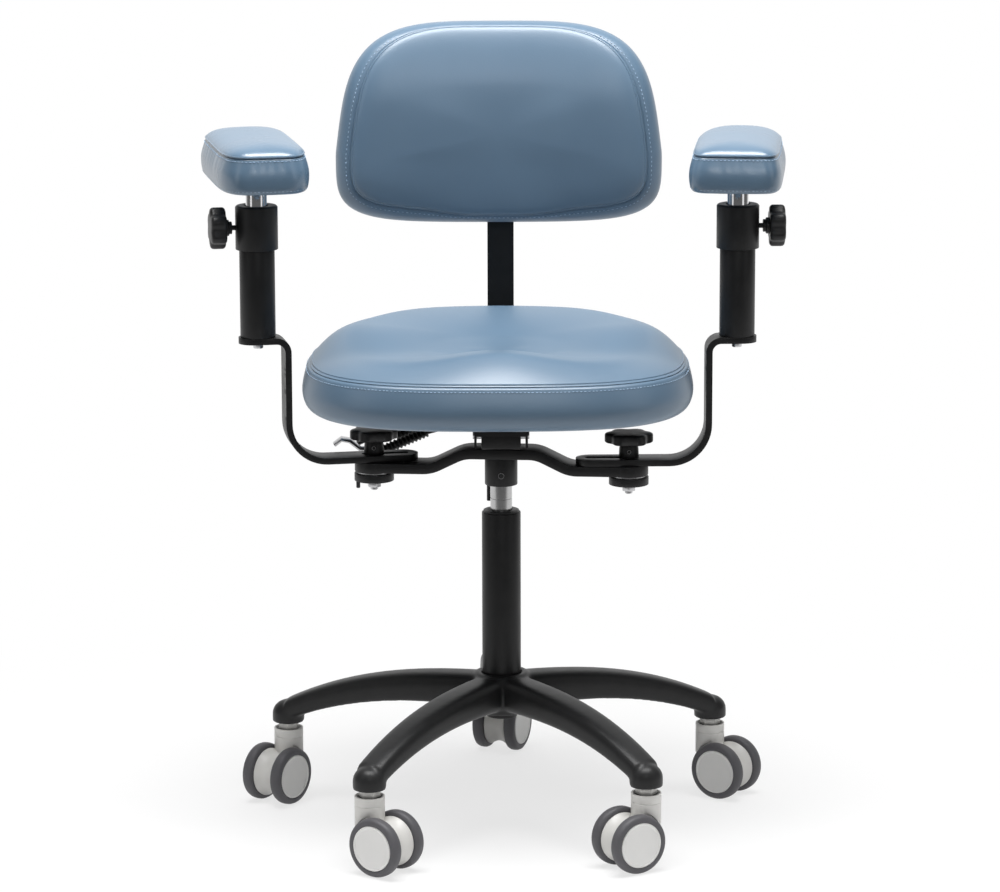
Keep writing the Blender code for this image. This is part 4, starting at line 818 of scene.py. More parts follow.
yoke_middle = YOKE_TOP - YOKE_THICKNESS / 2
yoke_end = yoke_middle - YOKE_DROP
half_yoke = [(0.047, yoke_middle), (0.089, yoke_end), (PIVOT_X, yoke_end)]
yoke_line = bent_line([(-x, z) for x, z in half_yoke[::-1]] + half_yoke, [0.045] * 4)
yoke = laid(strip(line_length(yoke_line), 0.023, YOKE_THICKNESS, rounded=False), yoke_line)
soften(yoke, 0.0012)
for x in (-PIVOT_X, PIVOT_X):
    end = round_bar(0.025, YOKE_END_LOW, YOKE_END_TOP)
    added(yoke, moved(soften(end, 0.0012), Matrix.Translation((x, 0, 0))))
added(yoke, soften(turned_ring(HUB_HOLE, HUB_OUTSIDE, YOKE_BOTTOM, yoke_middle), 0.0010))
pin_turn = math.radians(128)
PIN_LOW = YOKE_TOP - 0.0760
pin = round_bar(0.003, PIN_LOW, yoke_middle, 32)
pin_place = Vector((math.cos(pin_turn), math.sin(pin_turn), 0)) * PIN_CIRCLE
added(yoke, moved(soften(pin, 0.0006), Matrix.Translation(pin_place)))
make("yoke_bar", moved(yoke, yoke_place), COAT, "upper", "arm_yoke")


def grub_screw(radius):
    """A socket set screw, its axis along +Z and its face at zero."""
    cup = [(1.12, -0.0006), (1.12, 0.0002), (1, 0.0002), (1, -0.0004), (0.55, -0.0004), (0.5, -0.0016)]
    return lathe([(0, -0.002), *((radius * share, height) for share, height in cup), (0, -0.0016)], 24)


screw = moved(grub_screw(0.0034), Matrix.Translation((swivel_axis.x, swivel_axis.y - 0.021, 0.4535)) @ FROM_Y)
make("yoke_screw", screw, ZINC, "upper")
print("yoke bar of", round(line_length(yoke_line), 3), "m")

# %% [markdown]
# A star knob is a moulded disc with six lobes for the fingers. It starts as a circle whose radius swings in and
# out, and the disc is drawn up from it in steps that round both edges and dome the face.

# %% Star knobs
def star_knob(radius, height, flute=0.0045, lobes=6):
    """A lobed head from zero up to its height, domed on top."""
    mesh, face = round_face(lobes * 16, radius)
    for vert in mesh.verts:
        swing = 1 - math.cos(lobes * math.atan2(vert.co.y, vert.co.x))
        vert.co *= 1 - flute / radius * (swing / 2) ** 1.4
    size = 0.86
    bmesh.ops.scale(mesh, verts=face.verts, vec=(size, size, 1))
    level = 0.0
    steps = (
        (0.03, 0.92), (0.09, 0.97), (0.17, 1.0), (0.74, 1.0), (0.86, 0.98), (0.94, 0.92), (0.98, 0.80), (1.0, 0.5),
        (1.0, 0.2),
    )
    for up, wide in steps:
        face = grown(mesh, face, (0, 0, (up - level) * height), (wide / size, wide / size, 1))
        level, size = up, wide
    bmesh.ops.recalc_face_normals(mesh, faces=mesh.faces)
    return mesh


print("a star knob has", len(star_knob(0.03, 0.02).faces), "faces")

# %% [markdown]
# Each arm pivots on a bolt between a friction disc under the yoke and a star knob on top. The bracket rises beside
# the seat and carries a column, a clamp collar with a knob at its side, and a chrome post. Everything is built
# along +X from the pivot and placed by the arm's own joints.

# %% Bars and columns of the arms
BAR_LOW = 0.4723
BAR_HIGH = 0.6303
BAR_HALF = 0.020
BAR_THICKNESS = 0.008
BAR_INNER = 0.048
BAR_BEND = 0.101  # reach of the upright run
BAR_OUTER = 0.142
COLUMN_AXIS = 0.137
SLOT_HALF = 0.0053
SLOT_LONG = 0.0507
arm_places = {}
for side in ("left", "right"):
    name = "arm_" + side
    pivot = Vector(joints[name + "_swing"]["pos_m"])
    out = Vector(joints[name + "_slide"]["axis"])
    post = Vector(joints[name + "_pad_turn"]["pos_m"])
    at_pivot = Matrix.Translation((pivot.x, pivot.y, 0)) @ Matrix.Rotation(math.atan2(out.y, out.x), 4, "Z")
    drawn = (post - pivot).to_2d().length - COLUMN_AXIS
    at_bar = at_pivot @ Matrix.Translation((drawn, 0, 0))
    at_post = at_bar @ Matrix.Translation((COLUMN_AXIS, 0, 0))
    arm_places[side] = at_pivot, at_post

    corners = [(-BAR_INNER, BAR_LOW), (BAR_BEND, BAR_LOW), (BAR_BEND, BAR_HIGH), (BAR_OUTER, BAR_HIGH)]
    bar_line = bent_line(corners, [0.050, 0.015])
    slot = moved(strip(SLOT_LONG, SLOT_HALF, 0.03), Matrix.Translation((BAR_INNER - SLOT_LONG, 0, 0)))
    bar = carved(strip(line_length(bar_line), BAR_HALF, BAR_THICKNESS), slot)
    bar = soften(laid(bar, bar_line), 0.0011)
    make(name + "_bar", moved(bar, at_bar), COAT, name + "_bracket", name + "_bracket")

    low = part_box(name + "_column")[0].z
    collar_low, collar_high = (corner.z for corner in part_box(name + "_collar"))
    tube = round_bar(0.0225, low, collar_low)
    make(name + "_tube", moved(soften(tube, 0.0008), at_post), COAT, name + "_bracket", name + "_column")
    ring = [
        (0.0139, collar_low), (0.027, collar_low), (0.027, collar_high - 0.002), (0.025, collar_high),
        (0.0160, collar_high), (0.0150, collar_high - 0.002), (0.0139, collar_high - 0.002),
    ]
    ring = soften(lathe(ring + ring[:1]), 0.0008)
    make(name + "_clamp", moved(ring, at_post), NYLON, name + "_bracket", name + "_collar")

    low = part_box(name + "_post")[0].z
    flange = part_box(name + "_pad")[0].z
    shaft = round_bar(0.0135, low, flange - 0.006)
    make(name + "_shaft", moved(soften(shaft, 0.0006), at_post), CHROME, name + "_post", name + "_post")
    seat = round_bar(0.028, flange - 0.0062, flange - 0.0004)
    make(name + "_pad_seat", moved(soften(seat, 0.0009), at_post), NYLON, name + "_post")

# %% [markdown]
# The fasteners are what the eye checks for scale: a flange nut and the end of its bolt under each disc, and a
# socket screw under each column. Hexagons come from cones of six sides.

# %% Discs, bolts and screws of the arms
def hex_head(across, low, high):
    """A hexagonal prism with softened edges."""
    mesh = prism(6, across / 2 / math.cos(math.pi / 6), high - low)
    return moved(soften(mesh, 0.0006), Matrix.Translation((0, 0, (low + high) / 2)))


for side, (at_pivot, at_post) in arm_places.items():
    name = "arm_" + side
    low, high = (corner.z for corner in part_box(name + "_friction_disc"))
    disc = soften(turned_ring(0.0055, 0.0255, low, high - 0.0016), 0.0007)
    if side == "left":
        peg = [(0, -0.009), (0.0022, -0.009), (0.0026, -0.008), (0.0026, 0.002), (0, 0.002)]
        peg = lathe([(radius, low + height) for radius, height in peg], 24)
        added(disc, moved(peg, at_pivot.to_3x3().inverted().to_4x4() @ Matrix.Translation((-0.0205, -0.006, 0))))
    make(name + "_disc", moved(disc, at_pivot), NYLON, name + "_pivot", name + "_friction_disc")
    washer = turned_ring(0.0055, 0.0222, high - 0.0015, high)
    make(name + "_washer", moved(washer, at_pivot), ZINC, name + "_pivot")

    bolt_low, bolt_high = (corner.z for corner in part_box(name + "_pivot_bolt"))
    nut = lathe([(0, low - 0.0040), (0.0085, low - 0.0040), (0.0118, low - 0.0014), (0.0118, low), (0, low)])
    added(nut, hex_head(0.0160, low - 0.0085, low - 0.001))
    stud = [(0, bolt_low), (0.0040, bolt_low), (0.0050, bolt_low + 0.001), (0.0050, bolt_high), (0, bolt_high)]
    make(name + "_nut", moved(added(nut, lathe(stud, 32)), at_pivot), ZINC, name + "_pivot", name + "_pivot_bolt")

    seat = BAR_HIGH - BAR_THICKNESS / 2
    head = [(0, 0), (0.0062, 0), (0.0065, 0.0055), (0.0058, 0.0068), (0.0035, 0.0068), (0.0033, 0.004), (0, 0.004)]
    head = lathe([(radius, seat - depth) for radius, depth in head], 32)
    make(name + "_screw", moved(head, at_post), ZINC, name + "_bracket", name + "_column_screw")
print("fasteners on two arms")

# %% [markdown]
# Each arm has two star knobs. The one on the pivot locks the swing, and the one on the collar locks the post at its
# height. Both are the same lobed head on a turned stem, so only the stem's profile and the place differ.

# %% Knobs of the arms
CLAMP_UP = 0.7749
for side, (at_pivot, at_post) in arm_places.items():
    name = "arm_" + side
    low = BAR_LOW + BAR_THICKNESS / 2 + 0.0003
    stem = lathe([(0, low), (0.0128, low), (0.0124, low + 0.012), (0.0108, low + 0.0195), (0, low + 0.0195)])
    knob = added(soften(stem, 0.0006), moved(star_knob(0.031, 0.0138), Matrix.Translation((0, 0, low + 0.0189))))
    make(name + "_star", moved(knob, at_pivot), NYLON, name + "_pivot_knob", name + "_pivot_knob")
    spot = at_pivot.translation + Vector((0, -0.0125, low + 0.009))
    make(name + "_star_screw", moved(grub_screw(0.0022), Matrix.Translation(spot) @ FROM_Y), ZINC, name + "_pivot_knob")

    clamp = lathe([
        (0, 0.0140), (0.0032, 0.0140), (0.0032, 0.0318), (0.0080, 0.0318), (0.0080, 0.0350), (0.0102, 0.0356),
        (0.0106, 0.0405), (0, 0.0405),
    ])
    added(soften(clamp, 0.0004), moved(star_knob(0.0265, 0.0203), Matrix.Translation((0, 0, 0.0398))))
    moved(clamp, at_post @ Matrix.Translation((0, 0, CLAMP_UP)) @ TO_X)
    make(name + "_clamp_star", clamp, NYLON, name + "_clamp_knob", name + "_clamp_knob")
print("four star knobs")

# %% [markdown]
# Under the seat a steel box sits on the cylinder and carries the hinges. It is a plain folded case, so a cube cut
# and softened is enough, and the plates and pins round it keep their CAD shape with a better finish.

# %% Seat mechanism
def block(low, high):
    """A box between two corners."""
    mesh = bmesh.new()
    bmesh.ops.create_cube(mesh, size=1)
    size = Vector(high) - Vector(low)
    return moved(mesh, Matrix.Translation((Vector(low) + Vector(high)) / 2) @ Matrix.Diagonal((*size, 1)))


PAST = Vector((0.01, 0.01, 0.01))  # how far a cutter runs past a face
hinge = Vector(joints["back_recline"]["pos_m"])
case_low, case_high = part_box("seat_mechanism")
below, beyond = case_low - PAST, case_high + PAST
notch = block((hinge.x - 0.019, hinge.y - 0.014, below.z), (hinge.x + 0.019, beyond.y, beyond.z))
relief = block(below, (beyond.x, swivel_axis.y - 0.026, YOKE_TOP + 0.010))
case = soften(carved(block(case_low, case_high), notch, relief), 0.0022)
make("mechanism_case", case, COAT, "upper", "seat_mechanism")
for node, look in (
    ("seat_plate", COAT),
    ("seat_board", FELT),
    ("tilt_axle", ZINC),
    ("back_hinge_pin", ZINC),
    ("piston_rod", CHROME),
    ("thrust_bearing", ZINC),
):
    frame["nodes"][node].material_slots[0].material = look[0]
print("case of", [round(value, 3) for value in case_high - case_low])

# %% [markdown]
# Two levers come out at the viewer's left. Each is a bent rod in a corrugated sleeve, and ends in a flat paddle. A
# circle drawn out along the rod's line gives both: at each station it is moved, turned and scaled.

# %% Levers
def swept(stations, sides=24):
    """A rod along -X through stations of reach, height, half width and half thickness."""
    mesh, face = round_face(sides)
    old = Matrix.Identity(4)
    for i, (reach, height, wide, thick) in enumerate(stations):
        before, after = stations[max(i - 1, 0)], stations[min(i + 1, len(stations) - 1)]
        along = Vector((before[0] - after[0], 0, after[1] - before[1])).normalized()
        side = Vector((0, 1, 0))
        up = along.cross(side)
        new = Matrix((side * wide, up * thick, along)).transposed().to_4x4()
        new.translation = (-reach, 0, height)
        if i:
            face = grown(mesh, face, (0, 0, 0))
        bmesh.ops.transform(mesh, matrix=new @ old.inverted(), verts=face.verts)
        old = new
    bmesh.ops.recalc_face_normals(mesh, faces=mesh.faces)
    return mesh


RIB = 0.0052
SLEEVE = 0.0075
ROD = 0.004
BLADE_HALF = 0.012
LEVERS = {
    "height_lever": [
        (0.070, -0.016), (0.128, -0.041), (0.158, -0.039), (0.171, -0.028), (0.182, -0.026), (0.191, -0.033),
    ],
    "tilt_lever": [
        (0.062, -0.010), (0.112, -0.026), (0.130, -0.030), (0.142, -0.030), (0.154, -0.032), (0.162, -0.036),
    ],
}
for name, (bend, end, *paddle) in LEVERS.items():
    stations = [(0, 0, 0.0025, 0.0025), (0.008, 0, ROD, ROD), (*bend, ROD, ROD)]
    start, stop = Vector(bend), Vector(end)
    ribs = int((stop - start).length / RIB)
    for i in range(1, 4 * ribs):
        size = SLEEVE - 0.0024 * (0.5 + 0.5 * math.cos(math.pi * i / 2))
        stations.append((*start.lerp(stop, i / (4 * ribs)), size, size))
    stations.append((*end, ROD, ROD))
    at_pull = Matrix.Translation(joints[name + "_pull"]["pos_m"])
    make(name + "_sleeve", moved(swept(stations), at_pull), NYLON, name, name)
    blade = [(*end, ROD, ROD)]
    blade += [(*point, BLADE_HALF * share, 0.0034) for point, share in zip(paddle, (0.55, 1.0, 1.0, 0.8))]
    make(name + "_paddle", moved(swept(blade), at_pull), ZINC if name == "height_lever" else NYLON, name)
print("two levers of", ribs, "ribs or more")

# %% [markdown]
# The backrest hangs on a flat bar that comes out behind the seat and turns upright. A moulded carrier slides on
# the bar and is clamped by a star knob from behind.

# %% Back post and carrier
post_line = bent_line([(0, 0), (0.150, 0), (0.150, 0.4156)], [0.032])
post_bar = soften(laid(strip(line_length(post_line), 0.0175, 0.012, rounded=False), post_line), 0.0012)
added(post_bar, moved(soften(round_bar(0.0105, -0.0175, 0.0175), 0.0008), FROM_Y))
at_hinge = Matrix.Translation(hinge) @ Matrix.Rotation(math.pi / 2, 4, "Z")
make("back_bar", moved(post_bar, at_hinge), COAT, "back", "back_post")

carrier_low, carrier_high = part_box("back_carrier")
bar_front = hinge.y + 0.144
guide = block(
    (hinge.x - 0.0178, bar_front - 0.0003, carrier_low.z - PAST.z),
    (hinge.x + 0.0178, bar_front + 0.0123, carrier_high.z + PAST.z),
)
make("back_slide", soften(carved(block(carrier_low, carrier_high), guide), 0.0018), NYLON, "backrest", "back_carrier")

knob_spot = Vector(joints["back_knob_turn"]["pos_m"])
clamp = lathe([(0, 0.0004), (0.004, 0.0004), (0.004, 0.0186), (0.0095, 0.0186), (0.0102, 0.0270), (0, 0.0270)])
added(soften(clamp, 0.0004), moved(star_knob(0.025, 0.018), Matrix.Translation((0, 0, 0.0266))))
make("back_star", moved(clamp, Matrix.Translation(knob_spot) @ TO_Y), NYLON, "back_knob", "back_knob")
print("back bar of", round(line_length(post_line), 3), "m")

# %% [markdown]
# The soft pieces share one way. A form is stacked up from rings whose outlines are rounded, a little smaller than
# the real cushion, and one of them is drawn in as the groove of the seam. The form is swollen as cloth under air
# pressure, held along its foot and its seam, so that the cover bulges between them as foam makes it do.

# %% Cushion forms
EVENING = 24  # passes that even out a swelling


def superellipse(turn, half_x, half_y, power):
    """A point of a rounded outline at a plan angle."""
    c, s = math.cos(turn), math.sin(turn)
    reach = (abs(c / half_x) ** power + abs(s / half_y) ** power) ** (-1 / power)
    return reach * c, reach * s


def eased(share):
    """A share between 0 and 1 that starts and ends gently."""
    share = min(max(share, 0.0), 1.0)
    return share * share * (3 - 2 * share)


def ringed(outline, layers, segments=160):
    """A closed form through rings; outline(turn, *layer) places a ring's points."""
    mesh, face = round_face(segments)
    for _ in layers[1:]:
        face = grown(mesh, face, (0, 0, 1))
    for vert in mesh.verts:
        vert.co = outline(math.atan2(vert.co.y, vert.co.x), *layers[round(vert.co.z)])
    bmesh.ops.recalc_face_normals(mesh, faces=mesh.faces)
    return mesh


def swollen(mesh, cap, held):
    """Swells a form as cloth. Held points stay, and the swelling is evened out and capped."""
    helper = spare_object(mesh)
    start = [vert.co.copy() for vert in helper.data.vertices]
    pinned = [held(spot) for spot in start]
    pins = helper.vertex_groups.new(name="held")
    pins.add([i for i, fixed in enumerate(pinned) if fixed], 1.0, "REPLACE")
    cloth = helper.modifiers.new("cloth", "CLOTH").settings
    cloth.use_pressure = True
    cloth.uniform_pressure_force = 4
    cloth.effector_weights.gravity = 0
    cloth.vertex_group_mass = pins.name
    for number in range(1, 21):
        scene.frame_set(number)
    mesh = read_back(helper)
    scene.frame_set(1)
    mesh.verts.ensure_lookup_table()
    blown = [vert.co.copy() for vert in mesh.verts]
    for vert, spot in zip(mesh.verts, start):
        vert.co = spot
    mesh.normal_update()
    swell = [min(max((end - vert.co).dot(vert.normal), 0.0), cap) for vert, end in zip(mesh.verts, blown)]
    near = [[edge.other_vert(vert).index for edge in vert.link_edges] for vert in mesh.verts]
    for _ in range(EVENING):
        sums = [far + sum(swell[j] for j in others) for far, others in zip(swell, near)]
        swell = [0.0 if fixed else far / (1 + len(others)) for far, others, fixed in zip(sums, near, pinned)]
    for vert, far in zip(mesh.verts, swell):
        vert.co += vert.normal * far
    return mesh


def upholstered(name, mesh, look, body, node):
    """A leather piece, subdivided once, in place of a soft solid."""
    piece = make(name, mesh, look, body, node)
    round_off = piece.modifiers.new("round_off", "SUBSURF")
    round_off.levels = round_off.render_levels = 1
    return piece


print("cushions can be swollen")

# %% [markdown]
# A seam also shows a thin roll of folded leather above its groove and a row of stitches below it. Rays cast at the
# finished cushion along the seam find where the roll and each dash of thread lie, whatever the swelling did.

# %% Seams
def surface(piece):
    """A tree of a piece's shape that rays can be cast at."""
    bpy.context.view_layer.update()
    return BVHTree.FromObject(piece, bpy.context.evaluated_depsgraph_get())


def stitches(name, tree, rays, body, long=0.0030, pitch=0.0050, thick=0.0006):
    """Dashes of thread where rays along a closed line meet a surface."""
    hits = [tree.ray_cast(*ray) for ray in rays]
    spots = [(hit[0], hit[1]) for hit in hits if hit[0] is not None]
    mesh = bmesh.new()
    travelled = 0.0
    for (first, normal), (second, _) in zip(spots, spots[1:] + spots[:1]):
        travelled += (second - first).length
        if travelled < pitch:
            continue
        travelled %= pitch
        along = (second - first).normalized()
        dash = Matrix((along, normal.cross(along), normal)).transposed().to_4x4()
        dash.translation = first + normal * (thick * 0.35)
        made = bmesh.ops.create_uvsphere(mesh, u_segments=6, v_segments=5, radius=1)["verts"]
        size = Matrix.Diagonal((long / 2, thick, thick, 1)) @ Matrix.Rotation(math.pi / 2, 4, "Y")
        bmesh.ops.transform(mesh, matrix=dash @ size, verts=made)
    return make(name, mesh, THREAD, body)


def bead(name, tree, rays, look, body, radius, sink):
    """A thin roll of leather along a closed line on a surface."""
    hits = [tree.ray_cast(*ray) for ray in rays]
    curve = bpy.data.curves.new("bead", "CURVE")
    curve.dimensions = "3D"
    curve.bevel_depth = radius
    curve.bevel_resolution = 2
    spots = [hit[0] - hit[1] * sink for hit in hits if hit[0] is not None]
    line = curve.splines.new("POLY")
    line.points.add(len(spots) - 1)
    for point, spot in zip(line.points, spots):
        point.co = (*spot, 1)
    line.use_cyclic_u = True
    helper = bpy.data.objects.new("helper", curve)
    scene.collection.objects.link(helper)
    return make(name, read_back(helper), look, body)


print("seams can be sewn")

# %% [markdown]
# The seat is a thick round cushion: a bulging side band that wraps under the board's edge, a seam, and a dished top
# with a raised rear rim. At the front the top rolls over in a broad crest, which is highest in the middle, where
# it makes a low pommel between two thigh channels.

# %% Seat cushion
SEAT_HALF = (0.2485, 0.220)
SEAT_FRONT_POWER = 3.0
SEAT_REAR_POWER = 2.25
SEAT_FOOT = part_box("seat_cushion")[0].z
BAND_HIGH = 0.053
SEAM_UP = SEAT_FOOT + BAND_HIGH
SEAM_INSET = 0.0094
CREST = -0.54  # where the front crest lies, as a share of the half depth
seat_middle = Vector((swivel_axis.x - 0.004, swivel_axis.y + 0.004, 0))


def seat_outline(turn, inset):
    power = SEAT_FRONT_POWER if math.sin(turn) < 0 else SEAT_REAR_POWER
    return superellipse(turn, SEAT_HALF[0] - inset, SEAT_HALF[1] - inset, power)


def seat_top(x, y):
    """The top's height over the seam: a rim that grows towards the rear, a dish and the front crest."""
    across, along = x / SEAT_HALF[0], y / SEAT_HALF[1]
    rim = 0.012 + 0.027 * eased((along + 0.55) / 0.8)
    dish = 0.024 * math.exp(-((across / 0.62) ** 2) - ((along - 0.10) / 0.48) ** 2)
    fall = 0.19 if along > CREST else 0.60
    crest = (0.006 + 0.016 * math.exp(-((x / 0.085) ** 2))) * math.exp(-(((along - CREST) / fall) ** 2))
    return rim - dish + crest


def seat_ring(turn, inset, share, on_top):
    """A ring of the side band at a share of its height, or one of the top, which rolls widest at the front."""
    x, y = seat_outline(turn, inset)
    if not on_top:
        return seat_middle + Vector((x, y, SEAT_FOOT + share * BAND_HIGH))
    front, rear = eased((-math.sin(turn) - 0.1) / 0.6), eased((math.sin(turn) - 0.5) / 0.4)
    width = 0.050 + 0.014 * front - 0.018 * rear
    climb = min((inset - SEAM_INSET) / width, 1.0)
    return seat_middle + Vector((x, y, SEAM_UP + (1 - (1 - climb) ** 1.8) * seat_top(x, y)))


SEAT_BAND = (
    (0.147, -0.11), (0.060, -0.11), (0.033, -0.11), (0.020, -0.095), (0.0120, -0.05), (0.0060, 0.03), (0.0025, 0.13),
    (0.0005, 0.25), (-0.0005, 0.38), (0.0002, 0.52), (0.0020, 0.68), (0.0042, 0.83), (0.0060, 0.92), (0.0068, 0.955),
    (0.0085, 0.98), (0.0122, 1.0),
)
SEAT_ROLL = (0.0096, 0.0102, 0.0118, 0.0145, 0.0185, 0.024, 0.031, 0.039)
layers = [(inset, share, False) for inset, share in SEAT_BAND] + [(inset, 1.0, True) for inset in SEAT_ROLL]
layers += [(SEAT_ROLL[-1] + 0.0085 * i, 1.0, True) for i in range(1, 21)]


def seat_held(spot):
    """True at the foot, along the seam and in the middle of the dish."""
    x, y = spot.x - seat_middle.x, spot.y - seat_middle.y
    edge = math.hypot(x, y) > math.hypot(*seat_outline(math.atan2(y, x), 0.022))
    return spot.z < SEAT_FOOT - 0.004 or (abs(spot.z - SEAM_UP) < 0.0014 and edge) or math.hypot(x / 0.09, y / 0.06) < 1


seat_form = swollen(ringed(seat_ring, layers), 0.003, seat_held)
seat_cushion = upholstered("seat_leather", seat_form, LEATHER, "seat", "seat_cushion")
print("seat of", len(seat_cushion.data.polygons), "faces")


def seat_rays(height, count):
    """Rays from outside towards the seat at a height."""
    for i in range(count):
        turn = 2 * math.pi * i / count
        out = Vector((math.cos(turn), math.sin(turn), 0))
        yield seat_middle + out * 0.4 + Vector((0, 0, height)), -out


seat_skin = surface(seat_cushion)
bead("seat_welt", seat_skin, seat_rays(SEAM_UP + 0.0026, 360), LEATHER, "seat", 0.0015, 0.0004)
stitches("seat_stitches", seat_skin, seat_rays(SEAM_UP - 0.0058, 1500), "seat")
print("seat sewn")

# %% [markdown]
# The backrest is lower and wider than it is high, with tight lower corners and a broad arched top. Its side bands
# show as crescents, because the seam runs out to the edge at the top. It is formed flat, with its front up, and
# bowed round the sitter's back afterwards.

# %% Back cushion
BACK_HALF = 0.215
BACK_ABOVE = 0.172
BACK_BELOW = 0.092
BACK_BOW = 0.016
BACK_NARROWING = 0.10
BACK_SEAM = 0.0450  # height of the seam over the flat rear
SEAM_IN = 0.021  # how far in from the outline the seam lies at the sides
back_low, back_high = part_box("back_cushion")
back_rear = back_high.y
back_middle = hinge.x - 0.002
back_widest = back_low.z + BACK_BELOW


def back_outline(turn, inset):
    upper = math.sin(turn) > 0
    high = (BACK_ABOVE if upper else BACK_BELOW) - inset
    return superellipse(turn, BACK_HALF - inset, high, 4.0 if upper else 4.5)


def back_fade(turn):
    """How much of an inset is left at an angle: the seam runs out to the edge at the top and the bottom."""
    return 1 - 0.8 * eased((math.sin(turn) - 0.35) / 0.6) - 0.45 * eased((-math.sin(turn) - 0.45) / 0.5)


def back_ring(turn, inset, depth):
    fade = back_fade(turn)
    if depth > BACK_SEAM:
        fade += (1 - fade) * eased((inset - SEAM_IN) / 0.045)
    return Vector((*back_outline(turn, inset * fade), depth))


def back_place(x, up, depth):
    """Bows the flat form, narrows it towards its top and leans its top edge back."""
    bow = BACK_BOW * min(max(depth / 0.045, 0.0), 1.0) * (x / BACK_HALF) ** 2
    depth *= 1 - 0.36 * max((up - 0.065) / 0.107, 0.0) ** 2
    x *= 1 - BACK_NARROWING * max(up, 0.0) / BACK_ABOVE
    return Vector((back_middle + x, back_rear - depth - bow, back_widest + up))


back_layers = [
    (0.060, 0.0), (0.030, 0.0), (0.013, 0.0), (0.006, 0.0015), (0.0025, 0.006), (0.0008, 0.013), (0.0, 0.021),
    (0.0008, 0.029), (0.0042, 0.0365), (0.0100, 0.0417), (0.0155, 0.0444), (0.0180, 0.0454), (0.0197, 0.0455),
    (SEAM_IN, BACK_SEAM), (0.0210, 0.0475), (0.0222, 0.0502), (0.0260, 0.0530), (0.0310, 0.0551), (0.0385, 0.0571),
    (0.047, 0.0588), (0.060, 0.0600), (0.074, 0.0607), (0.085, 0.0610),
]
back_form = swollen(
    ringed(back_ring, back_layers), 0.003, lambda spot: spot.z < 0.001 or abs(spot.z - BACK_SEAM) < 0.0009
)
for vert in back_form.verts:
    vert.co = back_place(*vert.co)
bmesh.ops.recalc_face_normals(back_form, faces=back_form.faces)
back_cushion = upholstered("back_leather", back_form, LEATHER, "backrest", "back_cushion")


def back_rays(inset, count, least):
    """Rays from the front along the outline drawn in, where at least so much of the inset is left."""
    for i in range(count):
        turn = 2 * math.pi * i / count
        fade = back_fade(turn)
        if fade > least:
            spot = back_place(*back_outline(turn, inset * fade), 0.0)
            yield Vector((spot.x, back_rear - 0.3, spot.z)), Vector((0, 1, 0))


back_skin = surface(back_cushion)
bead("back_welt", back_skin, back_rays(SEAM_IN + 0.0018, 360, 0.0), LEATHER, "backrest", 0.0014, 0.0004)
stitches("back_stitches", back_skin, back_rays(SEAM_IN - 0.0062, 1500, 0.45), "backrest", pitch=0.0058)


def board_ring(turn, inset, depth):
    spot = back_place(*back_outline(turn, inset), 0.0)
    return Vector((spot.x, back_rear + depth, spot.z))


BOARD = ((0.10, 0.0004), (0.020, 0.0004), (0.020, 0.005), (0.0215, 0.0072), (0.025, 0.0083), (0.10, 0.0083))
board = ringed(board_ring, BOARD)
make("back_panel", board, FELT, "backrest", "back_board")
print("backrest of", len(back_cushion.data.polygons), "faces")

# %% [markdown]
# The armrest pads are boxes of firm foam in the same cover. The top panel is sewn on with a raised seam, and the
# sides pucker a little under it. One pad is formed, and both arms take a copy.

# %% Armrest pads
PAD_HALF = (0.056, 0.125)
PAD_FRONT_POWER = 8.0
PAD_REAR_POWER = 4.2
PAD_SEAM = 0.0456
PUCKER_PITCH = 0.017


def pad_outline(turn, inset):
    power = PAD_FRONT_POWER if math.sin(turn) < 0 else PAD_REAR_POWER
    return superellipse(turn, PAD_HALF[0] - inset, PAD_HALF[1] - inset, power)


def pad_ring(turn, inset, height):
    return Vector((*pad_outline(turn, inset), height))


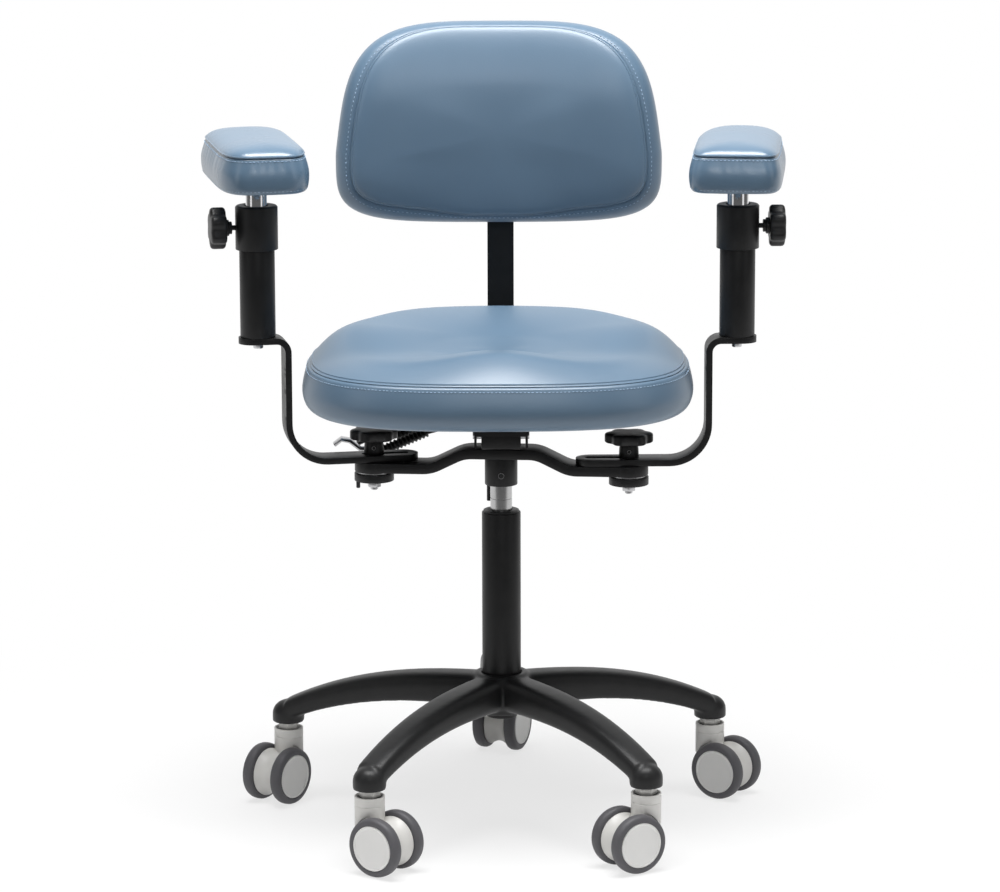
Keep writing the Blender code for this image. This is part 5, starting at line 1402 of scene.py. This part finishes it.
pad_layers = [
    (0.030, 0.0), (0.014, 0.0), (0.006, 0.0003), (0.0015, 0.0014), (-0.0004, 0.0040), (-0.0018, 0.010),
    (-0.0024, 0.018), (-0.0020, 0.027), (0.0002, 0.035), (0.0020, 0.0410), (0.0029, 0.0436), (0.0036, 0.0447),
    (0.0052, PAD_SEAM), (0.0034, 0.0466), (0.0036, 0.0484), (0.0058, 0.0510), (0.0095, 0.0538), (0.0150, 0.0564),
    (0.0230, 0.0586), (0.0330, 0.0602), (0.0440, 0.0611), (0.050, 0.0613),
]
pad_form = swollen(
    ringed(pad_ring, pad_layers), 0.002, lambda spot: spot.z < 0.0006 or abs(spot.z - PAD_SEAM) < 0.0010
)
pad_form.normal_update()
for vert in pad_form.verts:
    along = (vert.co.x + vert.co.y) / PUCKER_PITCH
    under_seam = math.exp(-(((vert.co.z - 0.034) / 0.012) ** 2))
    pucker = math.sin(2 * math.pi * along + 2.5 * math.sin(1.7 * along)) * under_seam
    vert.co -= vert.normal * (0.0005 * pucker)


def pad_rays(place, height, count):
    """Rays from outside towards a pad at a height, spread evenly over its outline."""
    for i in range(count):
        turn = 2 * math.pi * i / count
        turn = math.atan2(PAD_HALF[1] * math.sin(turn), PAD_HALF[0] * math.cos(turn))
        x, y = pad_outline(turn, 0.0)
        lean = (abs(x / PAD_HALF[0]) ** 4, abs(y / PAD_HALF[1]) ** 4)
        out = Vector((math.copysign(lean[0], x), math.copysign(lean[1], y), 0)).normalized()
        yield place @ (Vector((x, y, height)) + out * 0.05), -(place.to_3x3() @ out)


for side, turn in (("left", 0.0), ("right", -6.5)):
    name = "arm_" + side
    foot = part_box(name + "_pad")[0].z
    place = arm_places[side][1] @ Matrix.Translation((0, 0, foot)) @ Matrix.Rotation(math.radians(turn), 4, "Z")
    pad = upholstered(name + "_leather", moved(pad_form.copy(), place), TIGHT_LEATHER, name + "_pad", name + "_pad")
    skin = surface(pad)
    bead(name + "_welt", skin, pad_rays(place, PAD_SEAM + 0.0020, 240), TIGHT_LEATHER, name + "_pad", 0.0012, 0.0003)
    stitches(name + "_stitches", skin, pad_rays(place, PAD_SEAM - 0.0034, 900), name + "_pad")
    stitches(name + "_hem", skin, pad_rays(place, 0.0050, 900), name + "_pad", thick=0.0003)
pad_form.free()
print("two pads sewn")
